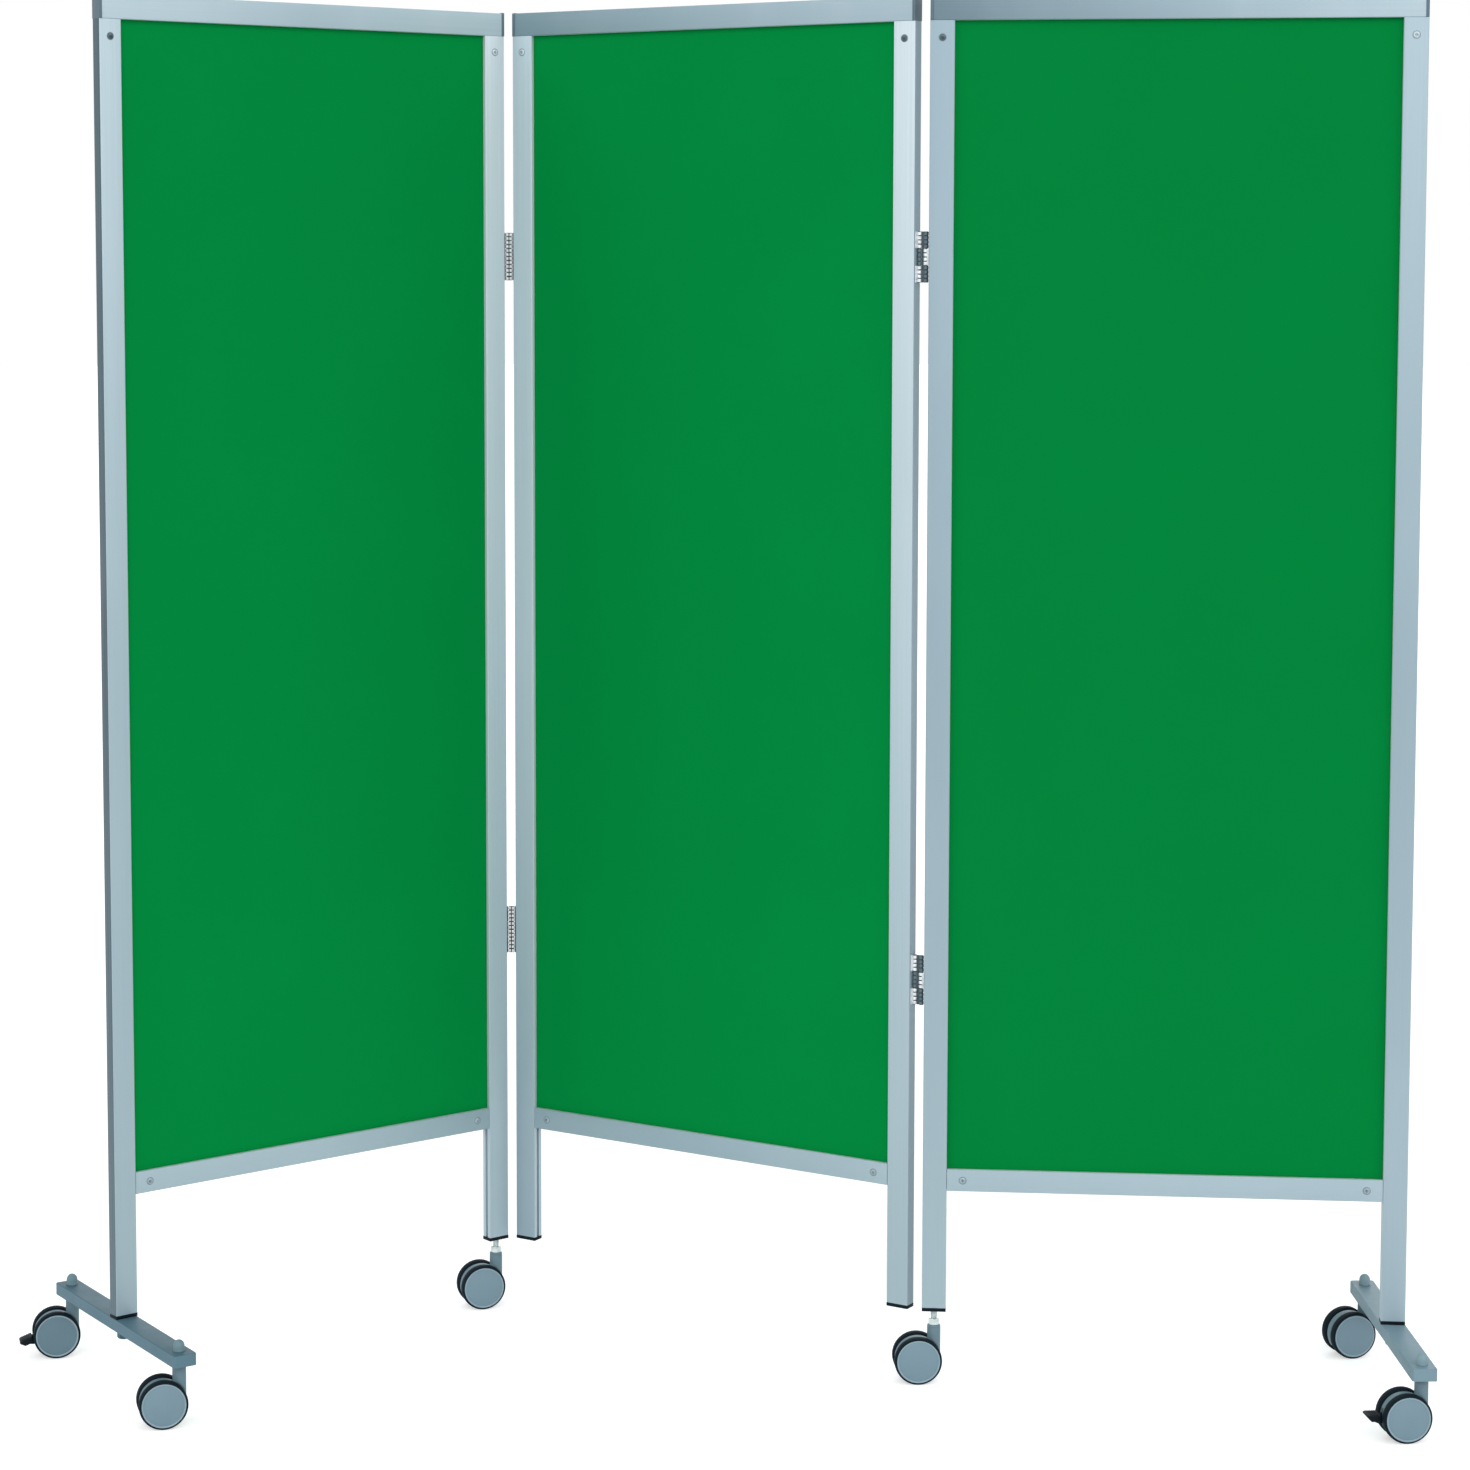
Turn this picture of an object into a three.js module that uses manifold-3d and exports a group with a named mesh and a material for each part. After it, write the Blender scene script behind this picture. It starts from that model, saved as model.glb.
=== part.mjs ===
// Three-leaf ward privacy screen on castors. Millimetres, +Z up, the floor at z = 0.
// The leaves stand in the half-folded pose that they are used in, seen from the front along +Y.

import * as THREE from 'three';
import { mergeVertices } from 'three/addons/utils/BufferGeometryUtils.js';
import Module from 'manifold-3d';

const wasm = await Module();
wasm.setup();

// Clearances and overruns that every piece shares
const runGap = 0.3;
const seatGap = 0.05;
const cutOver = 2;

// Leaf: two uprights, a top rail lying on them, a bottom rail between them, an infill sheet
const leafWidth = 600;
const frameDepth = 17;
const uprightFace = 30;
const uprightLength = 1609;
const topRailHeight = 30;
const bottomRailHeight = 27.5;
const bottomRailRise = 151;
const frameWall = 1.6;
const frameEdge = 0.8;
const grooveDepth = 6;
const infillThickness = 4;

// Top rail spigots, end caps and the caps under the uprights
const spigotDrop = 35;
const spigotRoot = 5;
const railCapPlate = 4;
const railCapProud = 0.6;
const capPlugLength = 12;
const uprightCapPlate = 4.5;

// Castor: twin wheels on one axle, a housing with an offset post, a stem
const wheelRadius = 30;
const wheelWidth = 13;
const wheelTreadEdge = 3.5;
const wheelShoulder = 2.2;
const wheelCoverRadius = 27.6;
const wheelCoverDish = 0.8;
const wheelHubRadius = 10;
const axleRadius = 3;
const wheelOffset = 21;
const webWidth = 12;
const webRadius = 28;
const webFloorGap = 14;
const wheelClearance = 1;
const postRadius = 8.4;
const postEdge = 0.8;
const footPostRise = 46.2;
const middlePostRise = 43;
const stemRadius = 4;
const stemInPost = 29.5;
const stemInCap = 14;
const stemNutFlats = 12.4;
const stemNutHeight = 8.5;
const domeRadius = 7.4;
const domeHeight = 14;
const domeSkirt = 6.5;

// Foot bar across the outer end of each wing
const footWidth = 30;
const footHeight = 15;
const footWall = 2.2;
const footCorner = 3;
const footCastorReach = 163;
const footEndReach = 19;
const footBossRadius = 8;
const footSpigotRise = 34;
const footNutFlats = 15;
const footNutHeight = 12;

// Brake pedal on the side of the wheels away from the stem
const pedalPivotBack = 18;
const pedalPivotDrop = 1;
const pedalPinRadius = 2;
const pedalNeckWidth = 5.6;
const pedalTreadWidth = 22;
const pedalReach = 48;
const pedalThickness = 5.5;
const pedalTreadLip = 8;
const pedalRise = 4;
const pedalPressDeg = 22;

// Two-pin hinge between leaves, in three equal knuckle heights
const hingeHeight = 63;
const hingePinOut = 3.6;
const leftPinSpacing = 14.6;
const rightPinSpacing = 8.8;
const knuckleRadius = 3.2;
const hingePinRadius = 2;
const leafPlate = 1.2;
const leafPlateWidth = 12;
const linkSpine = 1.6;
const upperHingeBase = 1385;
const lowerHingeBase = 482;

// How the leaves, feet and castors stand in the photographed pose, in degrees
const leftWingYaw = 37.19;
const middleYaw = -32.92;
const rightWingYaw = -6.0;
const leftFootTurnDeg = -5.1;
const rightFootTurnDeg = 6.0;
const leftFrontCastorTurnDeg = -17.8;
const leftRearCastorTurnDeg = -19.1;
const leftInnerCastorTurnDeg = -20.7;
const rightFrontCastorTurnDeg = 6;
const rightRearCastorTurnDeg = 13;
const rightInnerCastorTurnDeg = 8;

// Derived heights and widths
const footLength = (footCastorReach + footEndReach) * 2;
const footPostTop = wheelRadius + footPostRise;
const middlePostTop = wheelRadius + middlePostRise;
const footBottom = footPostTop + runGap;
const footTop = footBottom + footHeight;
const uprightBottom = footTop + uprightCapPlate;
const uprightTop = uprightBottom + uprightLength;
const grooveWidth = infillThickness + runGap + runGap;
const chamberStart = frameWall;
const chamberEnd = uprightFace - grooveDepth - frameWall;
const chamberHalf = frameDepth / 2 - frameWall;
const boreRadius = stemRadius + runGap;
const webHalf = webWidth / 2;
const wheelInner = webHalf + wheelClearance;
const wheelOuter = wheelInner + wheelWidth;
const thirdHeight = hingeHeight / 3;
const linkHalf = hingePinOut - runGap - leafPlate;

// Facet counts
const roundShares = 20;
const smallRoundShares = 12;
const cornerShares = 3;
const hexShares = 6;

const aluminium = { color: 0xb4c6cf, roughness: 0.38, metalness: 0.85 };
const infillGreen = { color: 0x00853c, roughness: 0.62, metalness: 0 };
const blackPlastic = { color: 0x141c20, roughness: 0.5, metalness: 0 };
const greyPlastic = { color: 0x7c97a5, roughness: 0.5, metalness: 0 };
const greyPaint = { color: 0x91a8b4, roughness: 0.45, metalness: 0.3 };
const zincSteel = { color: 0xc9d2d4, roughness: 0.3, metalness: 1 };
const chromeSteel = { color: 0xd8dde0, roughness: 0.18, metalness: 1 };
const wheelRubber = { color: 0x1b262b, roughness: 0.7, metalness: 0 };

function rad(degrees) {
  return THREE.MathUtils.degToRad(degrees);
}

function heading(degrees) {
  return new THREE.Vector2(Math.cos(rad(degrees)), Math.sin(rad(degrees)));
}

// A closed, merged, position-only copy of a geometry without collapsed triangles
function closed(geometry) {
  const plain = new THREE.BufferGeometry();
  plain.setAttribute('position', geometry.getAttribute('position').clone());
  if (geometry.index) plain.setIndex(geometry.index.clone());
  const merged = mergeVertices(plain);
  const kept = [];
  const index = merged.index.array;
  for (let i = 0; i < index.length; i += 3) {
    const [a, b, c] = [index[i], index[i + 1], index[i + 2]];
    if (a !== b && b !== c && c !== a) kept.push(a, b, c);
  }
  merged.setIndex(kept);
  merged.computeVertexNormals();
  return merged;
}

function solidOf(geometry, matrix) {
  const moved = matrix ? geometry.clone().applyMatrix4(matrix) : geometry;
  const body = closed(moved);
  const vertProperties = new Float32Array(body.getAttribute('position').array);
  const triVerts = new Uint32Array(body.index.array);
  return new wasm.Manifold(new wasm.Mesh({ numProp: 3, vertProperties, triVerts }));
}

function geometryOf(solid) {
  const mesh = solid.getMesh();
  const geometry = new THREE.BufferGeometry();
  const points = new Float32Array(mesh.vertProperties);
  geometry.setAttribute('position', new THREE.BufferAttribute(points, 3));
  geometry.setIndex(new THREE.BufferAttribute(new Uint32Array(mesh.triVerts), 1));
  geometry.computeVertexNormals();
  return geometry;
}

function joined(first, ...others) {
  return others.reduce((whole, other) => whole.add(other), first);
}

function addMesh(parent, name, geometry, look) {
  const mesh = new THREE.Mesh(geometry, new THREE.MeshStandardMaterial(look));
  mesh.name = name;
  parent.add(mesh);
  return mesh;
}

function boxSolid(x0, x1, y0, y1, z0, z1) {
  const box = new THREE.BoxGeometry(x1 - x0, y1 - y0, z1 - z0);
  const centre = new THREE.Vector3((x0 + x1) / 2, (y0 + y1) / 2, (z0 + z1) / 2);
  return solidOf(box, new THREE.Matrix4().setPosition(centre));
}

// An upright cylinder from z0 to z1
function postSolid(radius, x, y, z0, z1, facets) {
  const shape = new THREE.CylinderGeometry(radius, radius, z1 - z0, facets);
  const matrix = new THREE.Matrix4().makeRotationX(Math.PI / 2);
  matrix.setPosition(x, y, (z0 + z1) / 2);
  return solidOf(shape, matrix);
}

// A cylinder lying across, along Y
function crossSolid(radius, x, z, y0, y1, facets) {
  const shape = new THREE.CylinderGeometry(radius, radius, y1 - y0, facets);
  return solidOf(shape, new THREE.Matrix4().setPosition(x, (y0 + y1) / 2, z));
}

function hexRadius(flats) {
  return flats / Math.sqrt(3);
}

// Frame section: s runs from the plain outer side to the grooved side, t across the depth
function frameShape(face) {
  const half = frameDepth / 2;
  const groove = grooveWidth / 2;
  const outline = [
    [0, -half + frameEdge], [frameEdge, -half], [face - frameEdge, -half],
    [face, -half + frameEdge], [face, -groove], [face - grooveDepth, -groove],
    [face - grooveDepth, groove], [face, groove], [face, half - frameEdge],
    [face - frameEdge, half], [frameEdge, half], [0, half - frameEdge],
  ];
  const shape = new THREE.Shape(outline.map(([s, t]) => new THREE.Vector2(s, t)));
  const end = face - grooveDepth - frameWall;
  const chamber = [
    [chamberStart, -chamberHalf], [chamberStart, chamberHalf],
    [end, chamberHalf], [end, -chamberHalf],
  ];
  shape.holes.push(new THREE.Path(chamber.map(([s, t]) => new THREE.Vector2(s, t))));
  return shape;
}

function frameBar(face, length) {
  const depth = length;
  return new THREE.ExtrudeGeometry(frameShape(face), { depth, bevelEnabled: false });
}

function addUprights(leaf, names) {
  const left = addMesh(leaf, names[0], closed(frameBar(uprightFace, uprightLength)), aluminium);
  left.position.set(0, 0, uprightBottom);
  const right = addMesh(leaf, names[1], closed(frameBar(uprightFace, uprightLength)), aluminium);
  right.position.set(leafWidth, 0, uprightBottom);
  right.rotation.z = Math.PI;
}

// The top rail lies on both uprights and reaches down into them with two spigots
function addTopRail(leaf, name) {
  const start = railCapPlate + seatGap;
  const length = leafWidth - start - start;
  const turn = new THREE.Matrix4().makeBasis(
    new THREE.Vector3(0, 0, -1), new THREE.Vector3(0, 1, 0), new THREE.Vector3(1, 0, 0),
  );
  const bottom = uprightTop + seatGap;
  const lift = new THREE.Matrix4().makeTranslation(start, 0, bottom + topRailHeight);
  const bar = solidOf(frameBar(topRailHeight, length), lift.multiply(turn));
  const near = start + runGap;
  const far = chamberEnd - runGap;
  const half = chamberHalf - runGap;
  const low = bottom - spigotDrop;
  const high = bottom + spigotRoot;
  const leftSpigot = boxSolid(near, far, -half, half, low, high);
  const rightSpigot = boxSolid(leafWidth - far, leafWidth - near, -half, half, low, high);
  addMesh(leaf, name, geometryOf(joined(bar, leftSpigot, rightSpigot)), aluminium);
}

// The bottom rail stands between the uprights with a tongue in each upright's groove
function addBottomRail(leaf, name) {
  const x0 = uprightFace + runGap;
  const x1 = leafWidth - x0;
  const z0 = uprightBottom + bottomRailRise;
  const turn = new THREE.Matrix4().makeBasis(
    new THREE.Vector3(0, 0, 1), new THREE.Vector3(0, 1, 0), new THREE.Vector3(-1, 0, 0),
  );
  const lift = new THREE.Matrix4().makeTranslation(x1, 0, z0);
  const bar = solidOf(frameBar(bottomRailHeight, x1 - x0), lift.multiply(turn));
  const tongueHalf = grooveWidth / 2 - runGap;
  const tongueTop = z0 + bottomRailHeight - grooveDepth - frameWall;
  const near = uprightFace - grooveDepth + runGap;
  const end = x0 + grooveDepth;
  const left = boxSolid(near, end, -tongueHalf, tongueHalf, z0 + frameWall, tongueTop);
  const right = boxSolid(
    leafWidth - end, leafWidth - near, -tongueHalf, tongueHalf, z0 + frameWall, tongueTop,
  );
  addMesh(leaf, name, geometryOf(joined(bar, left, right)), aluminium);
}

function addInfill(leaf, name) {
  const inset = uprightFace - grooveDepth + runGap;
  const width = leafWidth - inset - inset;
  const low = uprightBottom + bottomRailRise + bottomRailHeight - grooveDepth + runGap;
  const high = uprightTop + grooveDepth - runGap;
  const sheet = new THREE.BoxGeometry(width, infillThickness, high - low);
  const mesh = addMesh(leaf, name, closed(sheet), infillGreen);
  mesh.position.set(leafWidth / 2, 0, (low + high) / 2);
}

// A cap with a plug that closes the end of the top rail, built for the left end
function railCapGeometry() {
  const half = frameDepth / 2 + railCapProud;
  const bottom = uprightTop + seatGap;
  const top = bottom + topRailHeight;
  const plate = boxSolid(0, railCapPlate, -half, half, bottom, top + railCapProud);
  const plugHalf = chamberHalf - runGap;
  const plugTop = top - chamberStart - runGap;
  const plugLow = bottom + grooveDepth + frameWall + runGap;
  const plugEnd = railCapPlate + capPlugLength;
  const plug = boxSolid(railCapPlate / 2, plugEnd, -plugHalf, plugHalf, plugLow, plugTop);
  return geometryOf(joined(plate, plug));
}

function addRailCaps(leaf, names) {
  addMesh(leaf, names[0], railCapGeometry(), blackPlastic);
  const right = addMesh(leaf, names[1], railCapGeometry(), blackPlastic);
  right.position.x = leafWidth;
  right.rotation.z = Math.PI;
}

// A plug for the upright's chamber from z0 to z1, in the frame of a left upright
function chamberPlug(z0, z1) {
  const half = chamberHalf - runGap;
  return boxSolid(chamberStart + runGap, chamberEnd - runGap, -half, half, z0, z1);
}

// The cap under an upright, with a bore where a castor stem screws in
function addUprightCap(leaf, name, atRight, bored) {
  const half = frameDepth / 2;
  const top = uprightBottom - seatGap;
  const plate = boxSolid(0, uprightFace, -half, half, footTop, top);
  const plug = chamberPlug(top - uprightCapPlate / 2, uprightBottom + capPlugLength);
  let cap = joined(plate, plug);
  if (bored) {
    const z0 = footTop - cutOver;
    const z1 = uprightBottom + capPlugLength + cutOver;
    cap = cap.subtract(postSolid(boreRadius, uprightFace / 2, 0, z0, z1, smallRoundShares));
  }
  const mesh = addMesh(leaf, name, geometryOf(cap), blackPlastic);
  if (atRight) {
    mesh.position.x = leafWidth;
    mesh.rotation.z = Math.PI;
  }
}

function addLeaf(leaf, prefix, sides) {
  addUprights(leaf, sides.map((side) => `${prefix}_${side}_upright`));
  addTopRail(leaf, `${prefix}_top_rail`);
  addBottomRail(leaf, `${prefix}_bottom_rail`);
  addInfill(leaf, `${prefix}_infill`);
  addRailCaps(leaf, sides.map((side) => `${prefix}_${side}_rail_cap`));
}

// Twin wheels, their covers and their axle in one turned outline about Y
function wheelGeometry() {
  const coverFace = wheelOuter;
  const hubFace = webHalf + runGap;
  const half = [
    [axleRadius, hubFace],
    [wheelHubRadius, hubFace],
    [wheelHubRadius, wheelInner],
    [wheelRadius - wheelShoulder, wheelInner],
    [wheelRadius, wheelInner + wheelShoulder],
    [wheelRadius, wheelOuter - wheelTreadEdge],
    [wheelCoverRadius, wheelOuter - wheelCoverDish],
    [wheelCoverRadius - wheelShoulder, coverFace],
    [0, coverFace],
  ];
  const back = half.map(([r, y]) => [r, -y]).reverse();
  const outline = [...back, ...half].map(([r, y]) => new THREE.Vector2(r, y));
  return closed(new THREE.LatheGeometry(outline, roundShares));
}

// Housing: a web between the wheels, cut away near the floor, and the post for the stem
function housingSolid(postTop) {
  const web = crossSolid(webRadius, -wheelOffset, wheelRadius, -webHalf, webHalf, roundShares);
  const reach = webRadius + wheelOffset + postRadius;
  const low = boxSolid(-reach, reach, -reach, reach, -reach, webFloorGap);
  const post = postSolid(postRadius, 0, 0, wheelRadius, postTop - postEdge, roundShares);
  const rim = postSolid(postRadius - postEdge, 0, 0, wheelRadius, postTop, roundShares);
  const clear = wheelRadius + wheelClearance;
  const far = postRadius + cutOver;
  const front = crossSolid(clear, -wheelOffset, wheelRadius, -far, -webHalf, roundShares);
  const back = crossSolid(clear, -wheelOffset, wheelRadius, webHalf, far, roundShares);
  const shaped = joined(post, rim).subtract(front).subtract(back);
  const boreEnd = postTop - stemInPost - runGap;
  const bore = postSolid(boreRadius, 0, 0, boreEnd, postTop + cutOver, smallRoundShares);
  const axleBore = crossSolid(
    axleRadius + runGap, -wheelOffset, wheelRadius, -far, far, smallRoundShares,
  );
  return joined(web.subtract(low), shaped).subtract(bore).subtract(axleBore);
}

// The slot and the pin bore that a brake pedal needs in the housing
function pedalSlot(housing) {
  const slotHalf = pedalNeckWidth / 2 + runGap;
  const reach = webRadius + cutOver;
  const slotEnd = -wheelOffset - axleRadius - pedalThickness;
  const slotTop = wheelRadius + pedalRise + pedalThickness;
  const slot = boxSolid(-wheelOffset - reach, slotEnd, -slotHalf, slotHalf, 0, slotTop);
  const pin = crossSolid(
    pedalPinRadius + runGap, -wheelOffset - pedalPivotBack, wheelRadius - pedalPivotDrop,
    -webHalf - cutOver, webHalf + cutOver, smallRoundShares,
  );
  return housing.subtract(slot).subtract(pin);
}

// Pedal about its pivot: neck between the cheeks, pin, and the tread outside the wheels
function pedalGeometry() {
  const root = pedalThickness / 2;
  const treadStart = pedalPivotBack - wheelRadius - wheelClearance - runGap;
  const tip = pedalPivotBack - pedalReach;
  const rise = pedalRise + pedalPivotDrop;
  const lip = rise - pedalTreadLip;
  const neck = [
    [root, -root], [root, root], [0, pedalThickness], [treadStart, rise],
    [treadStart - pedalThickness, rise], [treadStart - pedalThickness, -pedalThickness],
    [treadStart, -pedalTreadLip], [0, -pedalThickness],
  ];
  const tread = [
    [treadStart, rise], [tip, rise], [tip, rise - root], [tip + pedalThickness, lip],
    [treadStart, -root],
  ];
  const neckSolid = pedalSlab(neck, pedalNeckWidth);
  const treadSolid = pedalSlab(tread, pedalTreadWidth);
  const pinHalf = webHalf - seatGap;
  const pin = crossSolid(pedalPinRadius, 0, 0, -pinHalf, pinHalf, smallRoundShares);
  return geometryOf(joined(neckSolid, treadSolid, pin));
}

// An outline in X and Z, extruded evenly to both sides of Y = 0
function pedalSlab(outline, width) {
  const shape = new THREE.Shape(outline.map(([x, z]) => new THREE.Vector2(x, z)));
  const slab = new THREE.ExtrudeGeometry(shape, { depth: width, bevelEnabled: false });
  const matrix = new THREE.Matrix4().makeRotationX(Math.PI / 2);
  matrix.setPosition(0, width / 2, 0);
  return solidOf(slab, matrix);
}

function addPedal(castor, name, pressDeg) {
  const mesh = addMesh(castor, name, pedalGeometry(), blackPlastic);
  mesh.position.set(-wheelOffset - pedalPivotBack, 0, wheelRadius - pedalPivotDrop);
  mesh.rotation.y = -rad(pressDeg);
}

// Stem under a foot: a pin through the bar, with the dome cap on top
function footStemGeometry() {
  const low = footPostTop - stemInPost;
  const dome = footTop + seatGap;
  const crown = dome + domeHeight;
  const arc = [];
  for (let i = 0; i <= cornerShares; i += 1) {
    const angle = (Math.PI / 2) * (i / cornerShares);
    const r = domeRadius * Math.cos(angle);
    arc.push([r, dome + domeSkirt + (domeHeight - domeSkirt) * Math.sin(angle)]);
  }
  arc[cornerShares] = [0, crown];
  const outline = [[0, low], [stemRadius, low], [stemRadius, dome], [domeRadius, dome], ...arc];
  return turned(outline, smallRoundShares);
}

// Stem under an inner upright: a threaded rod with its nut, screwed into the cap
function middleStemGeometry() {
  const low = middlePostTop - stemInPost;
  const high = uprightBottom + stemInCap;
  const rod = postSolid(stemRadius, 0, 0, low, high, smallRoundShares);
  const nutLow = middlePostTop + runGap;
  const nutTop = nutLow + stemNutHeight;
  const nut = postSolid(hexRadius(stemNutFlats), 0, 0, nutLow, nutTop, hexShares);
  return geometryOf(joined(rod, nut));
}

// A turned solid about Z from an outline of radius and height
function turned(outline, facets) {
  const points = outline.map(([r, z]) => new THREE.Vector2(r, z));
  const lathe = new THREE.LatheGeometry(points, facets);
  return closed(lathe.applyMatrix4(new THREE.Matrix4().makeRotationX(Math.PI / 2)));
}

function addCastor(parent, name, place, turnDeg, underFoot, pedalDeg) {
  const castor = new THREE.Group();
  castor.position.set(place.x, place.y, 0);
  castor.rotation.z = rad(turnDeg);
  parent.add(castor);
  const braked = pedalDeg !== null;
  const stem = underFoot ? footStemGeometry() : middleStemGeometry();
  addMesh(castor, `${name}_castor_stem`, stem, underFoot ? greyPlastic : zincSteel);
  const plain = housingSolid(underFoot ? footPostTop : middlePostTop);
  const housing = braked ? pedalSlot(plain) : plain;
  addMesh(castor, `${name}_castor_housing`, geometryOf(housing), greyPlastic);
  const wheels = addMesh(castor, `${name}_castor_wheels`, wheelGeometry(), wheelRubber);
  wheels.position.set(-wheelOffset, 0, wheelRadius);
  if (braked) addPedal(castor, `${name}_brake_pedal`, pedalDeg);
}

// Foot bar: an open-bottomed channel with bosses, a black spacer and a spigot, a nut below
function footBarGeometry(turnDeg) {
  const half = footWidth / 2;
  const long = footLength / 2;
  const shape = new THREE.Shape();
  shape.moveTo(-half + footCorner, -long);
  shape.lineTo(half - footCorner, -long);
  shape.absarc(half - footCorner, -long + footCorner, footCorner, -Math.PI / 2, 0);
  shape.absarc(half - footCorner, long - footCorner, footCorner, 0, Math.PI / 2);
  shape.absarc(-half + footCorner, long - footCorner, footCorner, Math.PI / 2, Math.PI);
  shape.absarc(-half + footCorner, -long + footCorner, footCorner, Math.PI, Math.PI * 1.5);
  const block = new THREE.ExtrudeGeometry(shape, {
    depth: footHeight, bevelEnabled: false, curveSegments: cornerShares,
  });
  const bar = solidOf(block, new THREE.Matrix4().makeTranslation(0, 0, footBottom));
  const hollow = boxSolid(
    -half + footWall, half - footWall, -long + footWall, long - footWall,
    footBottom - cutOver, footTop - footWall,
  );
  const roof = footTop - footWall / 2;
  const bosses = [-footCastorReach, 0, footCastorReach].map(
    (y) => postSolid(footBossRadius, 0, y, footBottom, roof, smallRoundShares),
  );
  const nutLow = footBottom - footNutHeight;
  const nut = postSolid(hexRadius(footNutFlats), 0, 0, nutLow, roof, hexShares);
  const cuts = [-footCastorReach, footCastorReach].map(
    (y) => postSolid(boreRadius, 0, y, footBottom - cutOver, footTop + cutOver, smallRoundShares),
  );
  let whole = joined(bar.subtract(hollow), ...bosses, nut, footSpigot(turnDeg));
  for (const cut of cuts) whole = whole.subtract(cut);
  return geometryOf(whole);
}

// The spacer under the outer upright and the spigot in it, square to the leaf
function footSpigot(turnDeg) {
  const half = frameDepth / 2;
  const root = footTop - footWall / 2;
  const top = uprightBottom - seatGap;
  const spacer = boxSolid(0, uprightFace, -half, half, root, top);
  const plug = chamberPlug(root, uprightBottom + footSpigotRise);
  const square = joined(spacer, plug).translate([-uprightFace / 2, 0, 0]);
  return square.rotate([0, 0, -turnDeg]);
}

function addFoot(leaf, side, atRight, turnDeg, castors) {
  const foot = new THREE.Group();
  const along = atRight ? leafWidth - uprightFace / 2 : uprightFace / 2;
  foot.position.set(along, 0, 0);
  foot.rotation.z = rad(turnDeg);
  leaf.add(foot);
  const bar = new THREE.Group();
  bar.rotation.z = atRight ? Math.PI : 0;
  foot.add(bar);
  addMesh(bar, `${side}_foot_bar`, footBarGeometry(turnDeg), greyPaint);
  for (const { end, turn, pedal } of castors) {
    const y = end === 'front' ? -footCastorReach : footCastorReach;
    addCastor(foot, `${side}_${end}`, new THREE.Vector2(0, y), turn, true, pedal);
  }
}

// A knuckle with its web toward a plate or a spine, at one third of the hinge
function knuckle(x, toward, third, webSide) {
  const z0 = third * thirdHeight + runGap / 2;
  const z1 = (third + 1) * thirdHeight - runGap / 2;
  const barrel = postSolid(knuckleRadius, x, 0, z0, z1, smallRoundShares);
  const web = boxSolid(
    Math.min(x, toward), Math.max(x, toward), -webSide, webSide, z0, z1,
  );
  return joined(barrel, web);
}

function leafPlateSolid(third) {
  const z0 = third * thirdHeight + runGap / 2;
  const z1 = (third + 1) * thirdHeight - runGap / 2;
  const face = -hingePinOut + runGap;
  const half = leafPlateWidth / 2;
  return boxSolid(face, face + leafPlate, -half, half, z0, z1);
}

// A hinge leaf on its upright's end face, with its pin, about the pin's own axis
function hingeLeafGeometry(thirds) {
  const face = -hingePinOut + runGap + leafPlate / 2;
  const pieces = thirds.flatMap(
    (third) => [leafPlateSolid(third), knuckle(0, face, third, knuckleRadius)],
  );
  const pin = postSolid(
    hingePinRadius, 0, 0, runGap / 2, hingeHeight - runGap / 2, smallRoundShares,
  );
  return geometryOf(joined(pin, ...pieces));
}

// The link between the two pins: one barrel on the first pin, two on the second, on a spine
// narrow enough for a leaf plate to lie beside it
function hingeLinkGeometry(pinSpacing) {
  const mid = pinSpacing / 2;
  const half = linkSpine / 2;
  const spine = boxSolid(
    mid - half, mid + half, -linkHalf, linkHalf, runGap / 2, hingeHeight - runGap / 2,
  );
  const outer = [0, 2].map((third) => knuckle(pinSpacing, mid, third, linkHalf));
  const barrels = [knuckle(0, mid, 1, linkHalf), ...outer];
  let link = joined(spine, ...barrels);
  for (const x of [0, pinSpacing]) {
    const bore = postSolid(
      hingePinRadius + runGap, x, 0, -cutOver, hingeHeight + cutOver, smallRoundShares,
    );
    link = link.subtract(bore);
  }
  return geometryOf(link);
}

// Both hinges of one junction. The first leaf is left of the link, the second right of it.
function addHinges(root, side, names, firstPin, secondPin, yaws) {
  const [firstYaw, linkYaw, secondYaw] = yaws;
  const pinSpacing = firstPin.distanceTo(secondPin);
  const levels = [['upper', upperHingeBase], ['lower', lowerHingeBase]];
  for (const [level, base] of levels) {
    const prefix = `${side}_${level}_hinge`;
    const first = addMesh(root, `${prefix}_${names[0]}_leaf`, hingeLeafGeometry([0, 2]), chromeSteel);
    first.position.set(firstPin.x, firstPin.y, base);
    first.rotation.z = rad(firstYaw);
    const link = addMesh(root, `${prefix}_link`, hingeLinkGeometry(pinSpacing), chromeSteel);
    link.position.set(firstPin.x, firstPin.y, base);
    link.rotation.z = rad(linkYaw);
    const second = addMesh(root, `${prefix}_${names[1]}_leaf`, hingeLeafGeometry([1]), chromeSteel);
    second.position.set(secondPin.x, secondPin.y, base);
    second.rotation.z = rad(secondYaw) + Math.PI;
  }
}

function leafGroup(root, origin, yawDeg) {
  const leaf = new THREE.Group();
  leaf.position.set(origin.x, origin.y, 0);
  leaf.rotation.z = rad(yawDeg);
  root.add(leaf);
  return leaf;
}

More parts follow.
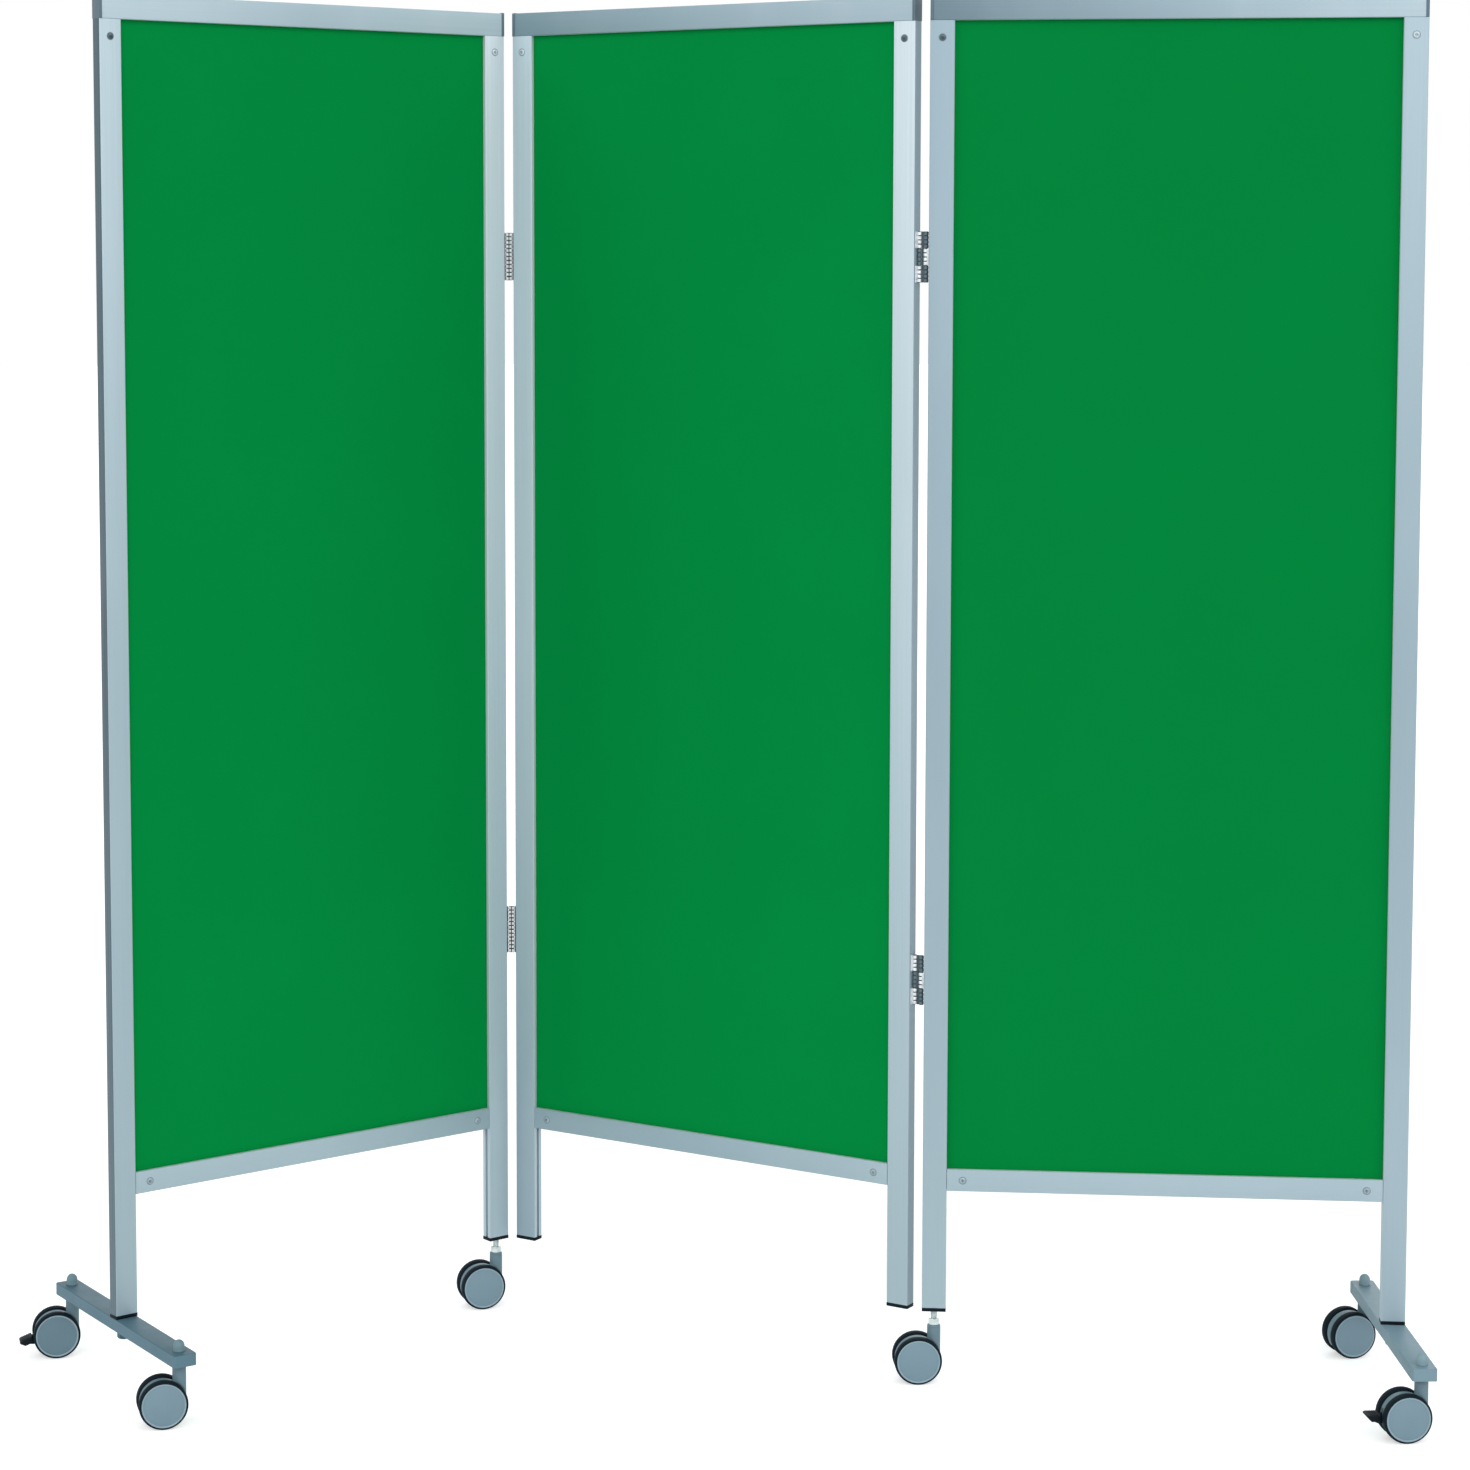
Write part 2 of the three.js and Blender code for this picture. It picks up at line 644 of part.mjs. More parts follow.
// The whole screen, built outward from the middle leaf
function screen() {
  const whole = new THREE.Group();
  const start = new THREE.Vector2(0, 0);
  const middle = leafGroup(whole, start, middleYaw);
  const middleDir = heading(middleYaw);

  const leftLinkYaw = (leftWingYaw + middleYaw) / 2;
  const leftMiddlePin = start.clone().addScaledVector(middleDir, -hingePinOut);
  const leftWingPin = leftMiddlePin.clone().addScaledVector(heading(leftLinkYaw), -leftPinSpacing);
  const leftReach = hingePinOut + leafWidth;
  const leftStart = leftWingPin.clone().addScaledVector(heading(leftWingYaw), -leftReach);
  const leftWing = leafGroup(whole, leftStart, leftWingYaw);

  const rightMiddlePin = start.clone().addScaledVector(middleDir, leafWidth + hingePinOut);
  const rightWingPin = rightMiddlePin.clone().addScaledVector(middleDir, rightPinSpacing);
  const rightStart = rightWingPin.clone().addScaledVector(heading(rightWingYaw), hingePinOut);
  const rightWing = leafGroup(whole, rightStart, rightWingYaw);

  addLeaf(leftWing, 'left_wing', ['outer', 'inner']);
  addLeaf(middle, 'middle_leaf', ['left', 'right']);
  addLeaf(rightWing, 'right_wing', ['inner', 'outer']);
  addUprightCap(leftWing, 'left_wing_inner_upright_cap', true, true);
  addUprightCap(middle, 'middle_leaf_left_upright_cap', false, false);
  addUprightCap(middle, 'middle_leaf_right_upright_cap', true, false);
  addUprightCap(rightWing, 'right_wing_inner_upright_cap', false, true);

  addHinges(
    whole, 'left', ['wing', 'middle'], leftWingPin, leftMiddlePin,
    [leftWingYaw, leftLinkYaw, middleYaw],
  );
  addHinges(
    whole, 'right', ['middle', 'wing'], rightMiddlePin, rightWingPin,
    [middleYaw, middleYaw, rightWingYaw],
  );

  addFoot(leftWing, 'left', false, leftFootTurnDeg, [
    { end: 'front', turn: leftFrontCastorTurnDeg, pedal: null },
    { end: 'rear', turn: leftRearCastorTurnDeg, pedal: pedalPressDeg },
  ]);
  addFoot(rightWing, 'right', true, rightFootTurnDeg, [
    { end: 'front', turn: rightFrontCastorTurnDeg, pedal: 0 },
    { end: 'rear', turn: rightRearCastorTurnDeg, pedal: null },
  ]);
  const innerX = uprightFace / 2;
  const leftInner = new THREE.Vector2(leafWidth - innerX, 0);
  const rightInner = new THREE.Vector2(innerX, 0);
  addCastor(leftWing, 'left_inner', leftInner, leftInnerCastorTurnDeg, false, null);
  addCastor(rightWing, 'right_inner', rightInner, rightInnerCastorTurnDeg, false, null);
  return whole;
}

// Centre the screen in plan, with the floor left at z = 0
const group = screen();
group.updateMatrixWorld(true);
const bounds = new THREE.Box3().setFromObject(group, true);
const centre = bounds.getCenter(new THREE.Vector3());
group.position.set(-centre.x, -centre.y, -bounds.min.z);
group.updateMatrixWorld(true);

export default group;
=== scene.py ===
# Three-leaf ward privacy screen on twin-wheel castors. Lengths are in metres, angles in degrees.
import math

import bpy
import bmesh
from mathutils import Matrix, Vector


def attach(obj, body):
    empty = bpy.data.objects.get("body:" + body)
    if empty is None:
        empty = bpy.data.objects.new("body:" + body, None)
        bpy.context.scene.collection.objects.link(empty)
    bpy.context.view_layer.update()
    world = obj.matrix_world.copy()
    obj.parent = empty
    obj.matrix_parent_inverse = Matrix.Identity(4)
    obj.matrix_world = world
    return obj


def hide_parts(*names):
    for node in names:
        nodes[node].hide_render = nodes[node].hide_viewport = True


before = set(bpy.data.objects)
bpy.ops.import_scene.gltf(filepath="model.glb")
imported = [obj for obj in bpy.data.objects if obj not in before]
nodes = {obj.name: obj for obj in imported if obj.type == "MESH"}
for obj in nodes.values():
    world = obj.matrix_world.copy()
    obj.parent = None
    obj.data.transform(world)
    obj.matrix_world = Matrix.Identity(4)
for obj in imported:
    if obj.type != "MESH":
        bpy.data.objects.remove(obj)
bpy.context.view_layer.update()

# Where each leaf starts, at its left end and mid thickness, and how it is turned
leaves = {
    "left_wing": {"origin": (-0.734862, -0.077695), "yaw": 37.19},
    "middle_leaf": {"origin": (-0.236402, 0.285745), "yaw": -32.92},
    "right_wing": {"origin": (0.281246, -0.047451), "yaw": -6.0},
}
leafSize = {"width": 0.6, "depth": 0.017, "face": 0.030, "bottom": 0.096, "top": 1.705}


def placeAt(x, y, z, yaw):
    return Matrix.Translation((x, y, z)) @ Matrix.Rotation(math.radians(yaw), 4, "Z")


def leafPlace(leaf):
    x, y = leaves[leaf]["origin"]
    return placeAt(x, y, 0, leaves[leaf]["yaw"])


# Camera, lights and floor
cameraView = {
    "location": (-0.0929, -4.3651, 1.4237),
    "pitch": 4.905,
    "yaw": 0.475,
    "lens": 85.64,
    "shiftX": 0.055,
    "shiftY": -0.125,
    "sensor": 36,
    "reach": 200,
}
studio = {
    "worldStrength": 0.44,
    "sunAngle": 40,
    "sunHeight": 30,
    "suns": {
        "frontSun": (0, 1.0), "leftSun": (-58, 0.75), "rightSun": (58, 0.75), "backSun": (170, 0.7),
    },
    "floorRadius": 40,
    "floorSides": 64,
    "floorTone": (0.86, 0.87, 0.88, 1),
    "floorRoughness": 0.9,
    "floorSpecular": 0.1,
    "floorGlow": 0.45,
    "white": (1, 1, 1, 1),
}


def addCamera():
    camera = bpy.data.objects.new("viewCamera", bpy.data.cameras.new("viewCamera"))
    bpy.context.scene.collection.objects.link(camera)
    camera.location = cameraView["location"]
    camera.rotation_euler = (
        math.radians(90 - cameraView["pitch"]), 0, math.radians(-cameraView["yaw"])
    )
    camera.data.sensor_width = cameraView["sensor"]
    camera.data.lens = cameraView["lens"]
    camera.data.shift_x = cameraView["shiftX"]
    camera.data.shift_y = cameraView["shiftY"]
    camera.data.clip_end = cameraView["reach"]
    bpy.context.scene.camera = camera


def addSun(name, side, strength):
    lamp = bpy.data.lights.new(name, "SUN")
    lamp.energy = strength
    lamp.angle = math.radians(studio["sunAngle"])
    sun = bpy.data.objects.new(name, lamp)
    bpy.context.scene.collection.objects.link(sun)
    sun.rotation_euler = (math.radians(90 - studio["sunHeight"]), 0, math.radians(side))


def newNode(tree, kind, settings=None):
    made = tree.nodes.new(kind)
    for key, value in (settings or {}).items():
        setattr(made, key, value)
    return made


# True for what the camera, a gloss or a see-through surface looks at directly
def seenDirectly(tree):
    path = newNode(tree, "ShaderNodeLightPath")
    either = newNode(tree, "ShaderNodeMath", {"operation": "MAXIMUM"})
    tree.links.new(path.outputs["Is Camera Ray"], either.inputs[0])
    tree.links.new(path.outputs["Is Glossy Ray"], either.inputs[1])
    every = newNode(tree, "ShaderNodeMath", {"operation": "MAXIMUM"})
    tree.links.new(either.outputs[0], every.inputs[0])
    tree.links.new(path.outputs["Is Transmission Ray"], every.inputs[1])
    return every.outputs[0]


def addWorld():
    world = bpy.data.worlds.new("studioWorld")
    bpy.context.scene.world = world
    world.use_nodes = True
    tree = world.node_tree
    background = tree.nodes["Background"]
    background.inputs["Color"].default_value = studio["white"]
    strength = newNode(tree, "ShaderNodeMapRange")
    strength.inputs["To Min"].default_value = studio["worldStrength"]
    strength.inputs["To Max"].default_value = 1
    tree.links.new(seenDirectly(tree), strength.inputs["Value"])
    tree.links.new(strength.outputs["Result"], background.inputs["Strength"])


def addFloor():
    bm = bmesh.new()
    bmesh.ops.create_circle(
        bm, cap_ends=True, radius=studio["floorRadius"], segments=studio["floorSides"]
    )
    mesh = bpy.data.meshes.new("studioFloor")
    bm.to_mesh(mesh)
    bm.free()
    floor = bpy.data.objects.new("studioFloor", mesh)
    bpy.context.scene.collection.objects.link(floor)
    material = bpy.data.materials.new("paleFloor")
    material.use_nodes = True
    tree = material.node_tree
    shader = tree.nodes["Principled BSDF"]
    shader.inputs["Base Color"].default_value = studio["floorTone"]
    shader.inputs["Roughness"].default_value = studio["floorRoughness"]
    shader.inputs["Specular IOR Level"].default_value = studio["floorSpecular"]
    shader.inputs["Emission Color"].default_value = studio["white"]
    glow = newNode(tree, "ShaderNodeMapRange")
    glow.inputs["To Min"].default_value = 0
    glow.inputs["To Max"].default_value = studio["floorGlow"]
    tree.links.new(seenDirectly(tree), glow.inputs["Value"])
    tree.links.new(glow.outputs["Result"], shader.inputs["Emission Strength"])
    mesh.materials.append(material)


addCamera()
for name, (side, strength) in studio["suns"].items():
    addSun(name, side, strength)
addWorld()
addFloor()
bpy.context.scene.view_settings.view_transform = "Standard"
print("stage: camera, lights and floor")


# Materials. A colour is written as it shows on the screen, from 0 to 255.
def tone(red, green, blue):
    linear = []
    for part in (red, green, blue):
        share = part / 255
        linear.append(share / 12.92 if share <= 0.04045 else ((share + 0.055) / 1.055) ** 2.4)
    return (*linear, 1)


def shaded(name, metal, roughness, specular=0.5):
    material = bpy.data.materials.new(name)
    material.use_nodes = True
    shader = material.node_tree.nodes["Principled BSDF"]
    shader.inputs["Metallic"].default_value = metal
    shader.inputs["Roughness"].default_value = roughness
    shader.inputs["Specular IOR Level"].default_value = specular
    return material, material.node_tree, shader


# Object coordinates seen from a leaf: X along it, Y through it, Z up, divided by the scale
def leafCoordinates(tree, leaf, scale):
    place = leaves[leaf]
    coordinates = newNode(tree, "ShaderNodeTexCoord")
    mapping = newNode(tree, "ShaderNodeMapping", {"vector_type": "TEXTURE"})
    mapping.inputs["Location"].default_value = (*place["origin"], 0)
    mapping.inputs["Rotation"].default_value = (0, 0, math.radians(place["yaw"]))
    mapping.inputs["Scale"].default_value = scale
    tree.links.new(coordinates.outputs["Object"], mapping.inputs["Vector"])
    return mapping.outputs["Vector"]


def noise(tree, vector, scale, detail, roughness=0.5):
    made = newNode(tree, "ShaderNodeTexNoise")
    made.inputs["Scale"].default_value = scale
    made.inputs["Detail"].default_value = detail
    made.inputs["Roughness"].default_value = roughness
    tree.links.new(vector, made.inputs["Vector"])
    return made.outputs["Fac"]


def ranged(tree, value, low, high, fromLow=0.0, fromHigh=1.0):
    made = newNode(tree, "ShaderNodeMapRange")
    made.inputs["From Min"].default_value = fromLow
    made.inputs["From Max"].default_value = fromHigh
    made.inputs["To Min"].default_value = low
    made.inputs["To Max"].default_value = high
    tree.links.new(value, made.inputs["Value"])
    return made.outputs["Result"]


def mixed(tree, first, second, factor):
    made = newNode(tree, "ShaderNodeMix", {"data_type": "RGBA"})
    colours = [s for s in made.inputs if s.type == "RGBA"]
    for socket, value in zip(colours, (first, second)):
        if isinstance(value, tuple):
            socket.default_value = value
        else:
            tree.links.new(value, socket)
    tree.links.new(factor, made.inputs["Factor"])
    return [s for s in made.outputs if s.type == "RGBA"][0]


def bumped(tree, shader, height, strength, distance):
    bump = newNode(tree, "ShaderNodeBump")
    bump.inputs["Strength"].default_value = strength
    bump.inputs["Distance"].default_value = distance
    tree.links.new(height, bump.inputs["Height"])
    tree.links.new(bump.outputs["Normal"], shader.inputs["Normal"])


# Satin anodised aluminium, brushed lengthwise. Its tones are painted light and shade: lighter and
# darker versions of one metal colour, each part running through three of them from one end to the
# other as the light falls on it.
aluminiumPaintedShades = {
    "pale": (202, 215, 222),
    "light": (182, 201, 210),
    "even": (164, 184, 194),
    "mid": (147, 169, 180),
    "deep": (122, 147, 158),
    "dim": (106, 129, 140),
    "shade": (82, 103, 113),
    "slate": (68, 88, 97),
}
brushing = {
    "metal": 0.1, "roughness": 0.42, "specular": 0.25,
    "fine": 0.0014, "long": 0.35, "cloud": (0.09, 0.09, 0.3),
    "streak": 0.22, "wear": 0.07, "worn": (226, 236, 241),
    "bump": 0.12, "bumpDepth": 0.0002,
}


def anodisedPaintedShading(name, leaf, upright, paintedTones, span):
    material, tree, shader = shaded(
        name, brushing["metal"], brushing["roughness"], brushing["specular"]
    )
    fine, long = brushing["fine"], brushing["long"]
    scale = (fine, fine, long) if upright else (long, fine, fine)
    grain = noise(tree, leafCoordinates(tree, leaf, scale), 1.0, 3.0, 0.6)
    cloud = noise(tree, leafCoordinates(tree, leaf, brushing["cloud"]), 1.0, 2.0)
    axes = newNode(tree, "ShaderNodeSeparateXYZ")
    tree.links.new(leafCoordinates(tree, leaf, (1, 1, 1)), axes.inputs[0])
    # Painted light and shade: a ramp of three tones along the part, from its bottom to its top or
    # from its left end to its right
    along = ranged(tree, axes.outputs["Z" if upright else "X"], 0.0, 1.0, *span)
    ramp = newNode(tree, "ShaderNodeValToRGB")
    middle = ramp.color_ramp.elements.new(0.5)
    ends = ramp.color_ramp.elements[0], middle, ramp.color_ramp.elements[2]
    for stop, shade in zip(ends, paintedTones):
        stop.color = tone(*aluminiumPaintedShades[shade])
    tree.links.new(along, ramp.inputs["Fac"])
    streak = ranged(tree, grain, 0.0, brushing["streak"], 0.4, 0.75)
    brushed = mixed(tree, ramp.outputs["Color"], tone(*aluminiumPaintedShades["mid"]), streak)
    wear = ranged(tree, cloud, 0.0, brushing["wear"], 0.5, 0.9)
    worn = mixed(tree, brushed, tone(*brushing["worn"]), wear)
    tree.links.new(worn, shader.inputs["Base Color"])
    tree.links.new(ranged(tree, grain, 0.36, 0.50), shader.inputs["Roughness"])
    bumped(tree, shader, grain, brushing["bump"], brushing["bumpDepth"])
    return material


# Moulded plastic, paint or rubber: a mottled tone with a fine surface grain
moulding = {
    "patchScale": 38.0, "spots": 0.55, "patches": 0.5, "smoother": 0.06, "rougher": 0.1,
    "bumpDepth": 0.0003,
}


def moulded(name, colour, deeper, roughness, grainScale, bumpStrength, metal=0.0, specular=0.5):
    material, tree, shader = shaded(name, metal, roughness, specular)
    coordinates = newNode(tree, "ShaderNodeTexCoord").outputs["Object"]
    grain = noise(tree, coordinates, grainScale, 4.0, 0.6)
    patches = noise(tree, coordinates, moulding["patchScale"], 3.0)
    spots = ranged(tree, grain, 0.0, moulding["spots"], 0.4, 0.8)
    spotted = mixed(tree, tone(*colour), tone(*deeper), spots)
    dulling = ranged(tree, patches, 0.0, moulding["patches"], 0.45, 0.8)
    tree.links.new(mixed(tree, spotted, tone(*deeper), dulling), shader.inputs["Base Color"])
    low, high = roughness - moulding["smoother"], roughness + moulding["rougher"]
    tree.links.new(ranged(tree, patches, low, high), shader.inputs["Roughness"])
    bumped(tree, shader, grain, bumpStrength, moulding["bumpDepth"])
    return material


# Bright plated steel with faint smears
plating = {
    "smearScale": 220.0, "dull": 0.82, "smears": 0.8, "rougher": 0.18, "bump": 0.08,
    "bumpDepth": 0.0002,
}


def plated(name, colour, roughness, metal):
    material, tree, shader = shaded(name, metal, roughness)
    coordinates = newNode(tree, "ShaderNodeTexCoord").outputs["Object"]
    smear = noise(tree, coordinates, plating["smearScale"], 4.0)
    duller = tone(*[part * plating["dull"] for part in colour])
    smears = ranged(tree, smear, 0.0, plating["smears"], 0.4, 0.7)
    tree.links.new(mixed(tree, tone(*colour), duller, smears), shader.inputs["Base Color"])
    rougher = ranged(tree, smear, roughness, roughness + plating["rougher"])
    tree.links.new(rougher, shader.inputs["Roughness"])
    bumped(tree, shader, smear, plating["bump"], plating["bumpDepth"])
    return material


# Green laminate sheet: an even colour with a fine pebbled surface. The right wing's greens are
# painted shade, a darker copy of the same laminate against the stronger light on that leaf.
sheetGreens = {
    "left_wing": ((0, 126, 57), (0, 134, 62), (0, 139, 65)),
    "middle_leaf": ((0, 126, 57), (0, 134, 62), (0, 139, 65)),
    # Painted shade: the right wing's greens are darker copies of the others
    "right_wing": ((0, 119, 53), (0, 127, 57), (0, 132, 60)),
}
sheetFinish = {
    "roughness": 0.62, "specular": 0.02, "pebbleScale": 900.0, "cloudScale": 5.0,
    "pebbles": 0.5, "clouds": 0.35, "bump": 0.12, "bumpDepth": 0.0002,
}


def laminate(name, leaf):
    material, tree, shader = shaded(name, 0, sheetFinish["roughness"], sheetFinish["specular"])
    deep, even, pale = [tone(*green) for green in sheetGreens[leaf]]
    vector = leafCoordinates(tree, leaf, (1, 1, 1))
    pebble = noise(tree, vector, sheetFinish["pebbleScale"], 3.0, 0.55)
    cloud = noise(tree, vector, sheetFinish["cloudScale"], 2.0)
    pebbles = ranged(tree, pebble, 0.0, sheetFinish["pebbles"], 0.35, 0.75)
    clouds = ranged(tree, cloud, 0.0, sheetFinish["clouds"], 0.4, 0.8)
    shade = mixed(tree, mixed(tree, even, deep, pebbles), pale, clouds)
    tree.links.new(shade, shader.inputs["Base Color"])
    tree.links.new(ranged(tree, pebble, 0.54, 0.70), shader.inputs["Roughness"])
    bumped(tree, shader, pebble, sheetFinish["bump"], sheetFinish["bumpDepth"])
    return material


height = (leafSize["bottom"], leafSize["top"])
across = (0.0, leafSize["width"])
# Painted light and shade on the frame, per leaf and part: three tones from bottom to top on the
# uprights and from left to right on the rails. The edge tone is painted shade on the side faces
# turned away from the sheet, and the faces turned toward the sheet get a pale painted highlight.
framePaintedShading = {
    "left_wing": {
        "left": ("even", "even", "light"), "right": ("even", "light", "pale"),
        "edge": ("shade", "slate", "slate"), "paintedHighlightLip": ("light", "pale", "pale"),
        "top": ("light", "even", "light"), "bottom": ("even", "even", "mid"),
    },
    "middle_leaf": {
        "left": ("mid", "light", "light"), "right": ("even", "light", "pale"),
        "edge": ("mid", "even", "mid"), "paintedHighlightLip": ("light", "pale", "pale"),
        "top": ("deep", "mid", "even"), "bottom": ("mid", "mid", "even"),
    },
    "right_wing": {
        "left": ("even", "mid", "mid"), "right": ("even", "mid", "even"),
        "edge": ("deep", "deep", "deep"), "paintedHighlightLip": ("light", "pale", "pale"),
        "top": ("dim", "mid", "light"), "bottom": ("even", "even", "even"),
    },
}
metals = {}
for leaf, paintedTones in framePaintedShading.items():
    for part, paintedStops in paintedTones.items():
        upright = part in ("left", "right", "edge", "paintedHighlightLip")
        metals[leaf, part] = anodisedPaintedShading(
            f"{leaf}_{part}_aluminium", leaf, upright, paintedStops, height if upright else across
        )
railCapGrey = moulded("railCapGrey", (88, 109, 120), (74, 94, 105), 0.5, 700.0, 0.15)
blackPlastic = moulded(
    "blackPlastic", (9, 22, 29), (4, 13, 18), 0.5, 800.0, 0.2, specular=0.1
)
blackRubber = moulded(
    "blackRubber", (14, 28, 36), (8, 19, 26), 0.72, 1200.0, 0.3, specular=0.1
)
discGrey = moulded("discGrey", (119, 144, 157), (112, 137, 150), 0.46, 1500.0, 0.12, 0, 0.25)
# Painted shade: a darker copy of the disc grey for the left rear castor
discShade = moulded("discShade", (102, 128, 140), (96, 122, 134), 0.46, 1500.0, 0.12, 0, 0.25)
# Painted highlight: a lighter grey on the raised rim of each disc
rimHighlightGrey = moulded("rimHighlightGrey", (138, 162, 173), (130, 154, 165), 0.4, 1500.0, 0.1, 0, 0.3)
housingGrey = moulded("housingGrey", (106, 131, 142), (94, 119, 131), 0.48, 1000.0, 0.16, 0, 0.3)


def footPaint(name, colour, deeper):
    return moulded(name, colour, deeper, 0.5, 900.0, 0.14, 0.0, 0.15)


# Painted light and shade: lit and shaded copies of one paint, darker on the left bar than the
# right, with the top, the flanks and the domed caps each in its own copy
footPaintsLitAndShaded = {
    "left": {
        "top": footPaint("leftFootTop", (78, 108, 122), (70, 100, 114)),
        "flank": footPaint("leftFootFlank", (94, 124, 138), (86, 116, 130)),
        "dome": footPaint("leftFootDome", (112, 138, 146), (104, 130, 138)),
    },
    "right": {
        "top": footPaint("rightFootTop", (120, 147, 160), (110, 138, 151)),
        "flank": footPaint("rightFootFlank", (122, 148, 160), (112, 139, 151)),
        "dome": footPaint("rightFootDome", (132, 156, 165), (124, 148, 157)),
    },
}
chrome = plated("hingeChrome", (238, 243, 246), 0.26, 0.35)
# Painted shade: a dark steel for the barrel grooves and the link's core
grooveShadeSteel = plated("grooveShadeSteel", (62, 76, 83), 0.4, 0.4)
# Painted light: near-white plates for the left link, against the shade of the gap they sit in
linkPaintedLightSteel = plated("linkPaintedLightSteel", (246, 249, 250), 0.3, 0.1)
# Painted shade: a dark steel for hinge parts that lie in shade
paintedShadeSteel = plated("paintedShadeHingeSteel", (92, 110, 118), 0.3, 0.5)
zinc = plated("zincSteel", (205, 216, 216), 0.24, 0.9)
screwSteel = plated("screwSteel", (84, 98, 106), 0.35, 0.8)
screwZinc = plated("screwZinc", (204, 218, 225), 0.4, 0.1)
# A darker tone for the lower screws than for the upper ones
screwLowerTone = plated("screwLowerTone", (156, 175, 184), 0.4, 0.1)
# Painted shadow: the ring round each screw head
seatShadowGrey = moulded("seatShadowGrey", (112, 134, 145), (100, 122, 133), 0.5, 1500.0, 0.1)
# Painted shade in the socket pits of the dark screws
socketShade = moulded("socketShade", (46, 58, 64), (30, 40, 46), 0.6, 1200.0, 0.2)
print("stage: materials")


# Mesh helpers
meshing = {"merge": 1e-6, "flat": 1, "sharp": 40}


def sharpEdges(bm, degrees):
    limit = math.radians(degrees)
    return [e for e in bm.edges if len(e.link_faces) == 2 and e.calc_face_angle() > limit]


def rounded(bm, edges, width, segments):
    bmesh.ops.bevel(
        bm, geom=edges, offset=width, offset_type="OFFSET", segments=segments, profile=0.5,
        affect="EDGES", clamp_overlap=True, material=-1,
    )


def addPiece(name, bm, place, body, finishes, replaced=(), smooth=35):
    bmesh.ops.transform(bm, matrix=place, verts=bm.verts)
    mesh = bpy.data.meshes.new(name)
    bm.to_mesh(mesh)
    bm.free()
    for finish in finishes:
        mesh.materials.append(finish)
    mesh.shade_smooth()
    mesh.set_sharp_from_angle(angle=math.radians(smooth))
    piece = bpy.data.objects.new(name, mesh)
    bpy.context.scene.collection.objects.link(piece)
    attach(piece, body)
    if replaced:
        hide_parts(*replaced)
    return piece


def join(bm, other):
    mesh = bpy.data.meshes.new("joining")
    other.to_mesh(mesh)
    other.free()
    bm.from_mesh(mesh)
    bpy.data.meshes.remove(mesh)
    return bm


def block(low, high, edge=0.0):
    bm = bmesh.new()
    bmesh.ops.create_cube(bm, size=1)
    size = [b - a for a, b in zip(low, high)]
    middle = [(a + b) / 2 for a, b in zip(low, high)]
    bmesh.ops.scale(bm, vec=size, verts=bm.verts)
    bmesh.ops.translate(bm, vec=middle, verts=bm.verts)
    if edge:
        rounded(bm, bm.edges[:], edge, 2)
    return bm


# An outline of radius and distance along the axis, spun once round that axis
def spun(outline, centre, axis, steps, loop=False):
    bm = bmesh.new()
    axis = Vector(axis)
    side = Vector((1, 0, 0))
    points = [bm.verts.new(Vector(centre) + side * r + axis * t) for r, t in outline]
    lines = [bm.edges.new(pair) for pair in zip(points, points[1:])]
    if loop:
        lines.append(bm.edges.new((points[-1], points[0])))
    bmesh.ops.spin(
        bm, geom=points + lines, cent=centre, axis=axis, angle=math.tau, steps=steps,
        use_merge=True, use_duplicate=False,
    )
    bmesh.ops.remove_doubles(bm, verts=bm.verts, dist=meshing["merge"])
    bmesh.ops.recalc_face_normals(bm, faces=bm.faces)
    return bm


# How far an edge lies from the bulk of a cap, which is its plug
def outwardness(edge, bm):
    bulk = sum((v.co for v in bm.verts), Vector()) / len(bm.verts)
    middle = (edge.verts[0].co + edge.verts[1].co) / 2
    return (middle - bulk).xy.length


# A CAD node's shape as one clean mesh with its sharp edges rounded
def softened(node, width, segments, corner=0.0):
    bm = bmesh.new()
    bm.from_mesh(nodes[node].data)
    bmesh.ops.remove_doubles(bm, verts=bm.verts, dist=meshing["merge"])
    bmesh.ops.dissolve_limit(
        bm, angle_limit=math.radians(meshing["flat"]), verts=bm.verts, edges=bm.edges,
        use_dissolve_boundaries=False,
    )
    if corner:
        top = max(v.co.z for v in bm.verts) - 1e-5
        level = [e for e in bm.edges if min(v.co.z for v in e.verts) > top]
        rounded(bm, [max(level, key=lambda e: outwardness(e, bm))], corner, 5)  # the outer corner
        bm.normal_update()
    rounded(bm, sharpEdges(bm, meshing["sharp"]), width, segments)
    return bm


def shapeMesh(bm):
    mesh = bpy.data.meshes.new("shape")
    bm.to_mesh(mesh)
    bm.free()
    made = bpy.data.objects.new("shape", mesh)
    bpy.context.scene.collection.objects.link(made)
    return made


# Cuts or joins solid shapes, and gives back one mesh
def combined(bm, steps):
    whole = shapeMesh(bm)
    others = []
    for operation, other in steps:
        tool = shapeMesh(other)
        others.append(tool)
        modifier = whole.modifiers.new(operation, "BOOLEAN")
        modifier.operation = operation
        modifier.solver = "EXACT"
        modifier.object = tool
    graph = bpy.context.evaluated_depsgraph_get()
    result = bmesh.new()
    result.from_mesh(bpy.data.meshes.new_from_object(whole.evaluated_get(graph)))
    for made in [whole, *others]:
        bpy.data.objects.remove(made)
    return result


# Aluminium frame of each leaf
frameSoftening = {
    "width": 0.00028, "segments": 2, "capWidth": 0.0005, "capSegments": 3, "capCorner": 0.0024,
    "footCapWidth": 0.0004,
}
uprightNames = {
    "left_wing": ("outer", "inner"),
    "middle_leaf": ("left", "right"),
    "right_wing": ("inner", "outer"),
}


